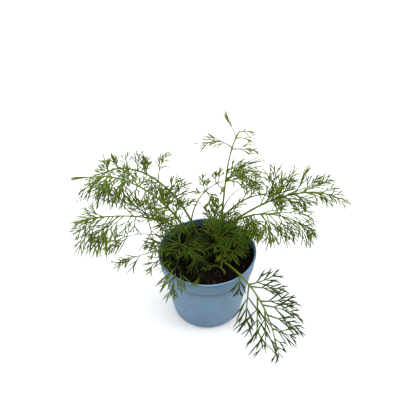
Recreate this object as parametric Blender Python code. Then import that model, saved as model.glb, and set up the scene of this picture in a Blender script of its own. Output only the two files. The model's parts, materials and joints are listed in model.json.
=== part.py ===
"""Potted dill: a 10.5 cm herb pot of soil, with dill seedlings that arch out over its rim.

Metres, +Z up. The origin is the centre of the pot's foot, on the surface that it stands on.
The seedlings lean mostly to the left (-X) and the right (+X), and one droops over the front (-Y).
"""

import math
import random
from collections import namedtuple

import bmesh
import bpy
import numpy as np
from mathutils import Quaternion, Vector

MM = 0.001
GAP = 0.3 * MM

# Pot: a thin lip over a collar, a step in under it, and a wall that tapers to a notched foot ring
RIM_RADIUS = 52.5 * MM
POT_HEIGHT = 84.0 * MM
LIP_HEIGHT = 1.4 * MM
LIP_PROUD = 1.0 * MM
LIP_ROUND = 0.5 * MM
COLLAR_HEIGHT = 15.0 * MM
COLLAR_TAPER = 0.7 * MM
COLLAR_STEP = 1.0 * MM
WALL = 1.1 * MM
BASE_RADIUS = 37.5 * MM
CORNER = 4.0 * MM
CORNER_ANGLES = (0, 35, 65)
FOOT_OUTER = 34.0 * MM
FOOT_INNER = 27.0 * MM
CENTRE_DISC = 13.0 * MM
CHANNEL_RISE = 2.0 * MM
CHANNEL_SLOPE = 1.0 * MM
FLOOR_TOP = 3.4 * MM
FLOOR_FILLET = 2.4 * MM
POT_SEGMENTS = 36
MERGE = 0.01 * MM

DRAIN_HOLES = 8
DRAIN_RADIUS = 3.0 * MM
DRAIN_CIRCLE = 20.0 * MM
DRAIN_SIDES = 6
NOTCHES = 4
NOTCH_WIDTH = 17.0 * MM
NOTCH_HEIGHT = 1.5 * MM
FRONT_NOTCH_DEG = -95.0

# Soil: each hump is a wave of a length along X and along Y, with a shift and a share of the relief
SOIL_LEVEL = 76.0 * MM
SOIL_RELIEF = 1.2 * MM
SOIL_HUMPS = [
    (44 * MM, 57 * MM, 0.8, 0.5),
    (25 * MM, -38 * MM, 2.0, 0.3),
    (94 * MM, 31 * MM, 1.6, 0.2),
]
SOIL_SEGMENTS = 18
SOIL_RINGS = 3
FOOT_DEPTH = 12.0 * MM
FOOT_RISE = 3.0 * MM
HOLE_SIDES = 6

# Dill: what a stem, a leaf's stalk and a leaflet are made of
STEM_SIDES = 4
STEM_STEPS = 10
STEM_TIP = 0.5
STALK_STEPS = 3
STALK_RADIUS = 0.75 * MM
STALK_ROOT = 0.4 * MM
STALK_BEND = 1.3
NEEDLE_SIDES = 3
NEEDLE_RADIUS = 0.55 * MM
NEEDLE_ROOT = 0.28 * MM
NEEDLE_KNEE = 0.6
NEEDLE_NOD = 0.35
LAST_LEAF = 0.985

# Leaflets from the blade's root to its tip, in shares of the blade or in degrees
FIRST_PAIR = 0.2
LAST_PAIR = 0.9
STAGGER = 0.8 * MM
SPREAD_ROOT = 40
SPREAD_TIP = 24
SPREAD_DRAW = 8
ROLL_DRAW = 28
REACH_ROOT = 0.62
REACH_TIP = 0.28
REACH_DRAW = (0.8, 1.1)
REACH_LEAST = 6 * MM

# Room between plants, and how far a leaf or a leaflet may swing to find it
BEAD = 1.0 * MM
CLEAR = 0.5 * MM
LEAF_SWINGS = (8, 16, 24, 32)
NEEDLE_SWINGS = (14, 28, 42)
BURIED = 0.2
SEED = 20

# A stem leaves its foot at a rise above level, in degrees, and bends to its droop at the tip.
# Bend says where: 1 is even, more is near the tip, less is near the foot. Turn swings its heading.
Stem = namedtuple("Stem", "name foot heading turn rise droop bend length radius leaves")

# A leaf leaves its stem at a share of the stem's length. It is bare for the stalk's share of its
# own length and then carries its pairs of leaflets. It bends and turns as a stem does.
Leaf = namedtuple(
    "Leaf", "at heading rise droop length pairs stalk turn", defaults=(3, 0.25, 0)
)

# Feet and lengths are in millimetres, angles in degrees, and heading 0 is +X, 90 is +Y.
STEMS = [
    Stem("dill_left_arch", (-7, 20), 163, 0, 69, -48, 2.1, 153, 1.3, [
        Leaf(0.43, 30, 35, 15, 20, 3),
        Leaf(0.49, 215, 20, -20, 18, 2),
        Leaf(0.57, 20, 88, 40, 38, 3, 0.35),
        Leaf(0.62, 270, -18, -60, 22, 3),
        Leaf(0.67, 40, 70, 60, 15, 2),
        Leaf(0.73, 70, 68, 60, 19, 3),
        Leaf(0.76, 250, 5, -40, 24, 3),
        Leaf(0.80, 110, 65, 50, 14, 2),
        Leaf(0.87, 150, 60, 40, 13, 2),
        Leaf(0.91, 235, -10, -50, 26, 3),
        Leaf(0.96, 120, 40, -10, 17, 2),
        Leaf(1.00, 195, 0, -50, 24, 3),
    ]),
    Stem("dill_left_middle", (-13, 14), 175, 0, 66, 2, 1.8, 136, 1.3, [
        Leaf(0.36, 240, 20, -10, 22, 3),
        Leaf(0.40, 215, 20, -20, 26, 3),
        Leaf(0.43, 100, 40, 20, 18, 2),
        Leaf(0.48, 52, 40, 20, 20, 3),
        Leaf(0.66, 265, -10, -60, 18, 2),
        Leaf(0.72, 40, 20, -20, 20, 2),
        Leaf(0.79, 120, 40, 0, 20, 3),
        Leaf(0.82, 250, 0, -40, 24, 3),
        Leaf(0.86, 282, -30, -80, 32, 2),
        Leaf(0.90, 250, -15, -70, 30, 2),
        Leaf(0.93, 140, 25, -10, 20, 3),
        Leaf(0.95, 230, 0, -40, 26, 3),
        Leaf(0.98, 200, -20, -70, 30, 3),
        Leaf(1.00, 205, -15, -45, 36, 2, 0.3),
        Leaf(1.00, 182, -2, -8, 38, 2, 0.3),
    ]),
    Stem("dill_left_low", (-20, 23), 201, 0, 80, 8, 0.5, 123, 1.1, [
        Leaf(0.46, 320, -20, -60, 20, 1, 0.5),
        Leaf(0.52, 170, 60, 20, 28, 3),
        Leaf(0.53, 290, -30, -80, 42, 3, 0.3),
        Leaf(0.66, 150, 40, 12, 48, 3, 0.4),
        Leaf(0.68, 250, 0, -40, 24, 2),
        Leaf(0.80, 230, -20, -50, 40, 3),
        Leaf(0.87, 235, -25, -55, 42, 2, 0.3),
        Leaf(0.91, 215, -20, -50, 44, 3, 0.3),
        Leaf(0.92, 160, 10, -10, 24, 2),
        Leaf(0.96, 218, -5, -35, 30, 3),
        Leaf(1.00, 190, -5, -25, 24, 3),
    ]),
    Stem("dill_left_bush", (-25, 2), 200, 0, 80, 60, 1.0, 14, 1.2, [
        Leaf(0.95, 172, 35, -58, 92, 3, 0.6, 25),
        Leaf(0.80, 203, 8, -15, 74, 3, 0.6, -4),
        Leaf(0.70, 222, 15, -40, 50, 3, 0.5),
        Leaf(0.90, 182, 25, -40, 42, 3, 0.5),
        Leaf(0.60, 265, 34, -80, 72, 3, 0.5, -8),
        Leaf(0.65, 293, 42, -78, 66, 3, 0.5),
        Leaf(0.50, 50, 50, -10, 36, 3),
        Leaf(0.65, 330, 45, -10, 36, 2),
        Leaf(0.70, 245, 20, -10, 36, 3),
        Leaf(1.00, 82, 80, 30, 38, 2),
        Leaf(1.00, 305, 35, -20, 40, 3),
        Leaf(0.85, 10, 30, -15, 34, 2),
        Leaf(0.90, 145, 48, -10, 33, 2),
        Leaf(1.00, 225, 40, -20, 36, 3),
    ]),
    Stem("dill_tall", (13, 23), 10, 0, 86, 62, 5.5, 143, 1.3, [
        Leaf(0.24, 20, 82, -20, 60, 3, 0.65),
        Leaf(0.63, 320, 45, -60, 40, 4, 0.15),
        Leaf(0.64, 15, 45, -5, 23, 3),
        Leaf(0.85, 190, 50, -45, 36, 3),
        Leaf(0.84, 355, 5, -12, 27, 3),
        Leaf(0.93, 340, 25, -50, 22, 1, 0.3),
        Leaf(0.94, 150, 66, 50, 30, 1, 0.45),
        Leaf(1.00, 350, 10, 0, 13, 2),
    ]),
    Stem("dill_right_upper", (12, 31), 14, 0, 90, -24, 1.0, 94, 1.2, [
        Leaf(0.30, 5, 25, 15, 18, 1, 0.4),
        Leaf(0.55, 20, 62, 40, 33, 3),
        Leaf(0.63, 10, 50, 35, 20, 2),
        Leaf(0.79, 350, -5, -15, 24, 2),
        Leaf(0.91, 60, 65, 60, 30, 3),
        Leaf(0.94, 120, 55, 45, 20, 2),
        Leaf(0.95, 310, 0, -40, 16, 2),
        Leaf(0.97, 18, 52, 36, 35, 3),
        Leaf(1.00, 10, 50, 40, 26, 3),
    ]),
    Stem("dill_right_long", (6, 27), 6, 0, 43, -36, 2.0, 156, 1.3, [
        Leaf(0.45, 30, 50, 30, 24, 3),
        Leaf(0.58, 330, 0, -50, 20, 3),
        Leaf(0.63, 325, 0, -50, 18, 2),
        Leaf(0.65, 328, 3, -8, 30, 3),
        Leaf(0.67, 45, 53, 53, 37, 3, 0.35),
        Leaf(0.72, 32, 35, 25, 26, 3),
        Leaf(0.72, 15, 30, 10, 35, 4, 0.3),
        Leaf(0.84, 320, -10, -40, 20, 2),
        Leaf(0.85, 25, 10, -5, 20, 2),
        Leaf(0.94, 330, -10, -40, 16, 2),
        Leaf(1.00, 0, -15, -25, 14, 2),
    ]),
    Stem("dill_right_lower", (18, 24), -8, 0, 90, -32, 0.8, 103, 1.2, [
        Leaf(0.42, 300, -20, -60, 24, 2),
        Leaf(0.50, 300, -20, -60, 26, 2),
        Leaf(0.58, 300, -10, -60, 34, 3),
        Leaf(0.64, 0, 12, -35, 54, 3, 0.4),
        Leaf(0.66, 310, -10, -60, 36, 3),
        Leaf(0.72, 60, 30, 0, 22, 2),
        Leaf(0.80, 305, -10, -55, 28, 3),
        Leaf(0.92, 315, -20, -60, 28, 3),
        Leaf(1.00, 340, -20, -50, 24, 3),
    ]),
    Stem("dill_right_bush", (9, 4), 20, 0, 85, 70, 1.0, 16, 1.2, [
        Leaf(0.50, 355, 55, 0, 44, 3),
        Leaf(0.45, 30, 63, 20, 38, 3),
        Leaf(0.55, 100, 75, 50, 34, 3),
        Leaf(0.60, 145, 80, 50, 28, 2),
        Leaf(0.70, 60, 72, 50, 37, 3),
        Leaf(0.80, 330, 50, -15, 40, 3),
        Leaf(0.90, 285, 45, -25, 30, 3),
        Leaf(0.85, 345, 35, -20, 42, 2),
        Leaf(0.95, 10, 60, 10, 44, 3),
        Leaf(1.00, 80, 85, 60, 37, 3),
    ]),
    Stem("dill_front", (10, -4), -57, -7, 16, -88, 2.2, 138, 1.1, [
        Leaf(0.33, 262, 0, -75, 24, 2),
        Leaf(0.45, 262, -20, -80, 46, 3, 0.25),
        Leaf(0.45, 20, -5, 30, 35, 3, 0.2),
        Leaf(0.47, 350, 0, 12, 35, 3, 0.3),
        Leaf(0.57, 268, -40, -80, 46, 3, 0.2),
        Leaf(0.61, 5, -5, 0, 36, 3, 0.2),
        Leaf(0.64, 350, -5, -20, 38, 3),
        Leaf(0.68, 275, -60, -82, 52, 3, 0.1),
        Leaf(0.72, 345, -10, -30, 38, 3),
        Leaf(0.82, 350, -22, -18, 28, 2),
        Leaf(0.90, 340, -35, -30, 16, 1),
        Leaf(0.92, 300, -50, -75, 20, 2),
        Leaf(1.00, 300, -70, -85, 16, 1),
    ]),
    Stem("dill_back", (-18, 40), 40, -45, 90, 0, 1.3, 90, 0.9, [
        Leaf(0.58, 185, 0, -5, 12, 1),
        Leaf(0.58, 110, 50, 60, 18, 2, 0.3),
        Leaf(0.59, 320, -5, -25, 20, 2),
        Leaf(0.60, 300, -20, -50, 26, 2),
        Leaf(0.61, 80, 55, 55, 13, 1),
        Leaf(0.75, 100, 55, 60, 15, 1),
        Leaf(0.77, 60, 60, 60, 18, 1),
        Leaf(0.76, 320, -20, -60, 14, 1),
        Leaf(1.00, 15, 15, 15, 12, 1),
    ]),
    Stem("dill_middle", (9, 40), 120, 0, 85, 60, 1.0, 14, 0.9, [
        Leaf(0.80, 60, 60, 20, 20, 2),
        Leaf(1.00, 150, 45, 30, 17, 2),
    ]),
    Stem("dill_sprout", (18, -27), 150, 0, 50, 0, 1.0, 11, 0.8, [
        Leaf(0.50, 76, 26, 0, 16, 2),
        Leaf(1.00, 195, 0, -10, 16, 2),
    ]),
]


def new_material(name, colour, roughness):
    """A plain Principled material in the part's colour."""
    material = bpy.data.materials.new(name)
    material.use_nodes = True
    shader = material.node_tree.nodes["Principled BSDF"]
    shader.inputs["Base Color"].default_value = (*colour, 1.0)
    shader.inputs["Roughness"].default_value = roughness
    shader.inputs["Metallic"].default_value = 0.0
    material.diffuse_color = (*colour, 1.0)
    return material


def add_object(name, mesh, material=None, collection=None):
    """Links an object for a mesh into a collection, the scene's own by default."""
    thing = bpy.data.objects.new(name, mesh)
    if material:
        mesh.materials.append(material)
    (collection or bpy.context.scene.collection).objects.link(thing)
    return thing


def boolean(thing, operation, collection, solver="EXACT"):
    """A Boolean modifier that takes a whole collection as its operand."""
    modifier = thing.modifiers.new(operation.title(), "BOOLEAN")
    modifier.operation = operation
    modifier.operand_type = "COLLECTION"
    modifier.collection = collection
    modifier.solver = solver
    return modifier


def cutter_collection(name):
    collection = bpy.data.collections.new(name)
    bpy.context.scene.collection.children.link(collection)
    return collection


def add_cutter(name, mesh, collection):
    """A guide solid that only cuts another."""
    cutter = add_object(name, mesh, None, collection)
    cutter.display_type = "WIRE"
    cutter.hide_render = True
    return cutter


def upright_prism(name, x, y, low, high, radius, sides):
    """A closed upright prism, whose flats lie at the radius."""
    shape = bmesh.new()
    corner = radius / math.cos(math.pi / sides)
    bmesh.ops.create_cone(
        shape, cap_ends=True, segments=sides, depth=high - low, radius1=corner, radius2=corner
    )
    bmesh.ops.translate(shape, verts=shape.verts, vec=(x, y, (low + high) / 2))
    mesh = bpy.data.meshes.new(name)
    shape.to_mesh(mesh)
    shape.free()
    return mesh


def outer_profile():
    """The pot's outside as (radius, height), from the rim down to the foot's centre."""
    collar_top = RIM_RADIUS - LIP_PROUD
    collar_foot = collar_top - COLLAR_TAPER
    collar_low = POT_HEIGHT - COLLAR_HEIGHT
    corner = [
        (
            BASE_RADIUS - CORNER * (1 - math.cos(math.radians(a))),
            CORNER * (1 - math.sin(math.radians(a))),
        )
        for a in CORNER_ANGLES
    ]
    return [
        (RIM_RADIUS - 2 * LIP_ROUND, POT_HEIGHT),
        (RIM_RADIUS, POT_HEIGHT - LIP_ROUND),
        (RIM_RADIUS, POT_HEIGHT - LIP_HEIGHT),
        (collar_top, POT_HEIGHT - LIP_HEIGHT - LIP_ROUND),
        (collar_foot, collar_low),
        (collar_foot - COLLAR_STEP, collar_low - COLLAR_STEP / 2),
        *corner,
        (FOOT_OUTER, 0),
        (FOOT_INNER, 0),
        (FOOT_INNER - CHANNEL_SLOPE, CHANNEL_RISE),
        (CENTRE_DISC + CHANNEL_SLOPE, CHANNEL_RISE),
        (CENTRE_DISC, 0),
        (0, 0),
    ]


def inner_profile():
    """The pot's inside as (radius, height), from the middle of its floor up to the rim."""
    collar_low = POT_HEIGHT - COLLAR_HEIGHT
    wall_foot = BASE_RADIUS - WALL
    mouth = RIM_RADIUS - LIP_PROUD - WALL
    step_radius = mouth - COLLAR_TAPER - COLLAR_STEP
    return [
        (0, FLOOR_TOP),
        (wall_foot - FLOOR_FILLET, FLOOR_TOP),
        (wall_foot, FLOOR_TOP + FLOOR_FILLET),
        (step_radius, collar_low - COLLAR_STEP),
        (step_radius + COLLAR_STEP, collar_low + COLLAR_STEP),
        (mouth, POT_HEIGHT - LIP_ROUND),
        (mouth + LIP_ROUND, POT_HEIGHT),
    ]


def radius_at(profile, height):
    """The radius of a rising profile at a height."""
    for (r0, z0), (r1, z1) in zip(profile, profile[1:]):
        if z0 <= height <= z1 and z1 > z0:
            return r0 + (r1 - r0) * (height - z0) / (z1 - z0)
    return profile[-1][0]


def make_pot(material):
    """A thin turned shell, then its drainage holes and the notches in its foot ring."""
    profile = inner_profile() + outer_profile()
    mesh = bpy.data.meshes.new("pot")
    points = [(r, 0, z) for r, z in profile]
    mesh.from_pydata(points, [(i, i + 1) for i in range(len(points) - 1)], [])
    pot = add_object("pot", mesh, material)
    screw = pot.modifiers.new("Turn", "SCREW")
    screw.steps = screw.render_steps = POT_SEGMENTS
    screw.use_merge_vertices = True
    screw.merge_threshold = MERGE
    screw.use_smooth_shade = True

    cutters = cutter_collection("pot_cutters")
    for i in range(DRAIN_HOLES):
        turn = 2 * math.pi * (i + 0.5) / DRAIN_HOLES
        x, y = DRAIN_CIRCLE * math.cos(turn), DRAIN_CIRCLE * math.sin(turn)
        name = f"drain_{i}"
        drill = upright_prism(name, x, y, -FLOOR_TOP, 2 * FLOOR_TOP, DRAIN_RADIUS, DRAIN_SIDES)
        add_cutter(name, drill, cutters)
    foot_middle = (FOOT_OUTER + FOOT_INNER) / 2
    foot_width = FOOT_OUTER - FOOT_INNER
    for i in range(NOTCHES):
        shape = bmesh.new()
        bmesh.ops.create_cube(shape, size=1)
        bmesh.ops.scale(
            shape, verts=shape.verts, vec=(2.3 * foot_width, NOTCH_WIDTH, 2 * NOTCH_HEIGHT)
        )
        bmesh.ops.translate(shape, verts=shape.verts, vec=(foot_middle, 0, 0))
        block = bpy.data.meshes.new(f"notch_{i}")
        shape.to_mesh(block)
        shape.free()
        notch = add_cutter(f"notch_{i}", block, cutters)
        notch.rotation_euler.z = math.radians(FRONT_NOTCH_DEG + 360 / NOTCHES * i)
    boolean(pot, "DIFFERENCE", cutters)
    return pot


def soil_height(x, y):
    """The soil's top at a place: low soft humps."""
    height = SOIL_LEVEL
    for along_x, along_y, shift, share in SOIL_HUMPS:
        height += SOIL_RELIEF * share * math.sin(2 * math.pi * (x / along_x + y / along_y) + shift)
    return height


def make_soil(material):
    """The root ball: it fills the pot, with a hummocked top and a hole for each stem."""
    wall = inner_profile()
    heights = [FLOOR_TOP + GAP, *(z for _, z in wall if FLOOR_TOP < z < SOIL_LEVEL), SOIL_LEVEL]
    flats = math.cos(math.pi / POT_SEGMENTS)
    outline = [(radius_at(wall, z) * flats - GAP, z) for z in heights]
    edge = outline[-1][0]
    rings = [(edge * (1 - i / (SOIL_RINGS + 1)), SOIL_LEVEL) for i in range(1, SOIL_RINGS + 1)]
    outline = [(0, heights[0]), *outline, *rings, (0, SOIL_LEVEL)]

    shape = bmesh.new()
    verts = [shape.verts.new((r, 0, z)) for r, z in outline]
    edges = [shape.edges.new(pair) for pair in zip(verts, verts[1:])]
    bmesh.ops.spin(
        shape, geom=verts + edges, axis=(0, 0, 1), cent=(0, 0, 0), angle=2 * math.pi,
        steps=SOIL_SEGMENTS, use_merge=True,
    )
    bmesh.ops.remove_doubles(shape, verts=shape.verts, dist=MERGE)
    for vert in shape.verts:
        if vert.co.z > SOIL_LEVEL - MERGE:
            vert.co.z = soil_height(vert.co.x, vert.co.y)
    bmesh.ops.recalc_face_normals(shape, faces=shape.faces)
    mesh = bpy.data.meshes.new("soil")
    shape.to_mesh(mesh)
    shape.free()
    soil = add_object("soil", mesh, material)

    holes = cutter_collection("stem_holes")
    for stem in STEMS:
        name = f"hole_{stem.name}"
        x, y = stem.foot[0] * MM, stem.foot[1] * MM
        bottom, top = SOIL_LEVEL - FOOT_DEPTH - GAP, SOIL_LEVEL + FOOT_DEPTH
        radius = stem.radius * MM + GAP
        add_cutter(name, upright_prism(name, x, y, bottom, top, radius, HOLE_SIDES), holes)
    boolean(soil, "DIFFERENCE", holes)
    return soil


def pointing(heading, rise):
    """The direction of a heading and a rise in degrees."""
    around, up = math.radians(heading), math.radians(rise)
    return Vector((math.cos(up) * math.cos(around), math.cos(up) * math.sin(around), math.sin(up)))


def bent_line(start, heading, turn, rise, droop, bend, length, steps):
    """Points along a shoot that leaves start at its rise and bends to its droop."""
    points = [start.copy()]
    for i in range(steps):
        t = (i + 0.5) / steps
        aim = pointing(heading + turn * t, rise + (droop - rise) * t**bend)
        points.append(points[-1] + aim * (length / steps))
    return points


def along(points, share):
    """The point and the direction at a share of a line's length."""
    place = min(max(share, 0.0), 1.0) * (len(points) - 1)
    i = min(int(place), len(points) - 2)
    step = points[i + 1] - points[i]
    return points[i] + step * (place - i), step.normalized()


def stem_line(stem):
    """The stem above its foot, which stands upright in the soil and just over it."""
    foot = Vector((stem.foot[0] * MM, stem.foot[1] * MM, SOIL_LEVEL + FOOT_RISE))
    return bent_line(
        foot, stem.heading, stem.turn, stem.rise, stem.droop, stem.bend,
        stem.length * MM, STEM_STEPS,
    )


def leaf_line(leaf, line):
    """The middle of a leaf, from the centre of its stem to its tip."""
    start, _ = along(line, min(leaf.at, LAST_LEAF))
    return bent_line(
        start, leaf.heading, leaf.turn, leaf.rise, leaf.droop, STALK_BEND,
        leaf.length * MM, STALK_STEPS,
    )


def leaflets(leaf, line, draw):
    """Each leaflet of a leaf as (start, direction, length), in pairs up the blade."""
    blade = (1 - leaf.stalk) * leaf.length * MM
    for pair in range(leaf.pairs):
        share = (pair + FIRST_PAIR) / leaf.pairs
        for sign in (-1, 1):
            start, ahead = along(line, leaf.stalk + (1 - leaf.stalk) * LAST_PAIR * share)
            start = start + ahead * sign * STAGGER
            side = ahead.cross(Vector((0, 0, 1))).normalized()
            roll = Quaternion(ahead, math.radians(draw.uniform(-ROLL_DRAW, ROLL_DRAW)))
            spread = SPREAD_ROOT + (SPREAD_TIP - SPREAD_ROOT) * share
            spread = math.radians(spread + draw.uniform(-SPREAD_DRAW, SPREAD_DRAW))
            aim = ahead * math.cos(spread) + (roll @ side) * sign * math.sin(spread)
            reach = REACH_ROOT + (REACH_TIP - REACH_ROOT) * share
            reach = blade * reach * draw.uniform(*REACH_DRAW)
            yield start, aim.normalized(), max(reach, REACH_LEAST)


def limb_mesh(name, points, radii, sides):
    """A closed tube along points, which ends in a point where its last radius is 0."""
    verts, faces, sideways = [], [], None
    pointed = radii[-1] == 0
    rings = len(points) - 1 if pointed else len(points)
    for i in range(rings):
        ahead = points[min(i + 1, len(points) - 1)] - points[max(i - 1, 0)]
        ahead.normalize()
        if sideways is None:
            sideways = ahead.orthogonal()
        sideways = (sideways - ahead * sideways.dot(ahead)).normalized()
        across = ahead.cross(sideways)
        for k in range(sides):
            turn = 2 * math.pi * k / sides
            verts.append(points[i] + radii[i] * (math.cos(turn) * sideways + math.sin(turn) * across))
    for i in range(rings - 1):
        for k in range(sides):
            a, b = i * sides + k, i * sides + (k + 1) % sides
            faces.append((a, b, b + sides, a + sides))
    faces.append(tuple(reversed(range(sides))))
    last = (rings - 1) * sides
    if pointed:
        verts.append(points[-1])
        faces += [(last + k, last + (k + 1) % sides, len(verts) - 1) for k in range(sides)]
    else:
        faces.append(tuple(range(last, last + sides)))
    mesh = bpy.data.meshes.new(name)
    mesh.from_pydata([tuple(v) for v in verts], [], faces)
    return mesh


def beads(points):
    """Places every millimetre along a line."""
    places = []
    for a, b in zip(points, points[1:]):
        count = max(1, round((b - a).length / BEAD))
        places += [a.lerp(b, (i + 0.5) / count) for i in range(count)]
    return np.array([tuple(p) for p in places])


def clears_pot(places, radius):
    """Whether beads stay clear of the pot's wall, the soil and the surface that the pot is on."""
    margin = radius + CLEAR
    inside, outside = inner_profile(), outer_profile()[::-1]
    below_lip = POT_HEIGHT - LIP_HEIGHT
    for x, y, z in places:
        if z < margin:
            return False
        if z > POT_HEIGHT + margin:
            continue
        out = math.hypot(x, y)
        height = min(z, below_lip)
        widest = radius_at(outside, min(z + 2 * margin, below_lip))
        if out > widest + margin:
            continue
        if out > radius_at(inside, height) - margin or z < SOIL_LEVEL + SOIL_RELIEF + margin:
            return False
    return True


class Thicket:
    """The limbs placed so far, by plant, so that no plant's limbs cross another's."""

    def __init__(self):
        self.places = {}

    def clear(self, plant, points, radius):
        new = beads(points)
        if not clears_pot(new, radius):
            return False
        for other, (old, radii) in self.places.items():
            if other == plant or not len(old):
                continue
            apart = np.linalg.norm(new[:, None, :] - old[None, :, :], axis=2)
            if (apart < radii[None, :] + radius + CLEAR).any():
                return False
        return True

    def add(self, plant, points, radius):
        new = beads(points)
        old, radii = self.places.get(plant, (np.empty((0, 3)), np.empty(0)))
        self.places[plant] = (
            np.vstack([old, new]), np.concatenate([radii, np.full(len(new), radius)])
        )


def bent_needle(start, aim, length):
    """A leaflet's middle line: straight for most of its length, then nodding."""
    knee = start + aim * length * NEEDLE_KNEE
    nod = (aim + Vector((0, 0, -NEEDLE_NOD))).normalized()
    return [start, knee, knee + nod * length * (1 - NEEDLE_KNEE)]


def swerves(aim):
    """An aim, then aims that swing a little further from it each time."""
    yield aim
    for angle in NEEDLE_SWINGS:
        for quarter in range(4):
            around = Quaternion(aim, math.radians(90 * quarter + angle)) @ aim.orthogonal()
            yield (aim + around.normalized() * math.tan(math.radians(angle))).normalized()


def leaf_ways(leaf):
    """A leaf, then leaves that stand a little further from it each time."""
    yield leaf
    for angle in LEAF_SWINGS:
        for swing, lift in ((1, 0), (-1, 0), (0, 1), (0, -1), (1, 1), (-1, 1), (1, -1), (-1, -1)):
            yield leaf._replace(heading=leaf.heading + swing * angle, rise=leaf.rise + lift * angle)


def place_stalk(thicket, stem, leaf, stem_points):
    """The first way of a leaf whose stalk crosses no other plant, or nothing."""
    for way in leaf_ways(leaf):
        line = leaf_line(way, stem_points)
        if thicket.clear(stem.name, line, STALK_RADIUS):
            thicket.add(stem.name, line, STALK_RADIUS)
            return line
    return None


def place_needle(thicket, plant, start, aim, length):
    """The first swerve of a leaflet that crosses no other plant past its buried root, or nothing."""
    for way in swerves(aim):
        points = bent_needle(start, way, length)
        if thicket.clear(plant, [start.lerp(points[1], BURIED), *points[1:]], NEEDLE_RADIUS):
            thicket.add(plant, points, NEEDLE_RADIUS)
            return points
    return None


def make_dill(material):
    """Every seedling: its stem, its leaf stalks and its leaflets, fused."""
    thicket = Thicket()
    lines = {stem.name: stem_line(stem) for stem in STEMS}
    limbs = {stem.name: [] for stem in STEMS}
    for stem in STEMS:
        thicket.add(stem.name, lines[stem.name], stem.radius * MM)

    stalks = []
    for stem in STEMS:
        for number, leaf in enumerate(stem.leaves):
            line = place_stalk(thicket, stem, leaf, lines[stem.name])
            if line:
                stalks.append((stem, number, leaf, line))
            else:
                print("no room for leaf", number, "of", stem.name)
    dropped = 0
    for stem, number, leaf, line in stalks:
        draw = random.Random(f"{SEED} {stem.name} {number}")
        radii = [STALK_ROOT] + [STALK_RADIUS] * (len(line) - 2) + [0]
        limbs[stem.name].append((line, radii))
        for start, aim, length in leaflets(leaf, line, draw):
            points = place_needle(thicket, stem.name, start, aim, length)
            if points is None:
                dropped += 1
                continue
            limbs[stem.name].append((points, [NEEDLE_ROOT, NEEDLE_RADIUS, 0]))
    print("leaflets dropped:", dropped)

    for stem in STEMS:
        foot = lines[stem.name][0]
        path = [foot - Vector((0, 0, FOOT_DEPTH + FOOT_RISE)), *lines[stem.name]]
        taper = [1] + [1 - (1 - STEM_TIP) * i / STEM_STEPS for i in range(STEM_STEPS + 1)]
        radii = [stem.radius * MM * share for share in taper]
        plant = add_object(stem.name, limb_mesh(stem.name, path, radii, STEM_SIDES), material)
        collection = cutter_collection(f"{stem.name}_limbs")
        for i, (points, radii) in enumerate(limbs[stem.name]):
            name = f"{stem.name}_limb_{i}"
            add_object(name, limb_mesh(name, points, radii, NEEDLE_SIDES), None, collection)
        boolean(plant, "UNION", collection, "MANIFOLD")
        fuse(plant, collection)


def fuse(plant, collection):
    """Applies the plant's union and removes what it joined."""
    graph = bpy.context.evaluated_depsgraph_get()
    joined = bpy.data.meshes.new_from_object(plant.evaluated_get(graph))
    old = plant.data
    plant.modifiers.clear()
    plant.data = joined
    bpy.data.meshes.remove(old)
    joined.name = plant.name
    for limb in list(collection.objects):
        mesh = limb.data
        bpy.data.objects.remove(limb)
        bpy.data.meshes.remove(mesh)
    bpy.data.collections.remove(collection)


def main():
    for thing in list(bpy.data.objects):
        bpy.data.objects.remove(thing)
    plastic = new_material("pot_plastic", (0.23, 0.38, 0.51), 0.4)
    peat = new_material("soil", (0.012, 0.009, 0.006), 0.95)
    green = new_material("dill_green", (0.09, 0.15, 0.015), 0.55)
    make_pot(plastic)
    make_soil(peat)
    make_dill(green)


main()
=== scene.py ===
# %% [markdown]
# # Potted dill
# A light blue herb pot with dill seedlings in dark, moist soil, as a garden shop sells them. The
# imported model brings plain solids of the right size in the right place. This lesson dresses them:
# the pot gets a finer turned shell, the soil its crumbs and fibres, and each seedling the hundreds
# of fine threads that dill leaves are made of. Everything is in metres, with +Z up.

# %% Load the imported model
import json
import math
import random
from collections import namedtuple

import bmesh
import bpy
from mathutils import Matrix, Quaternion, Vector, noise

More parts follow.
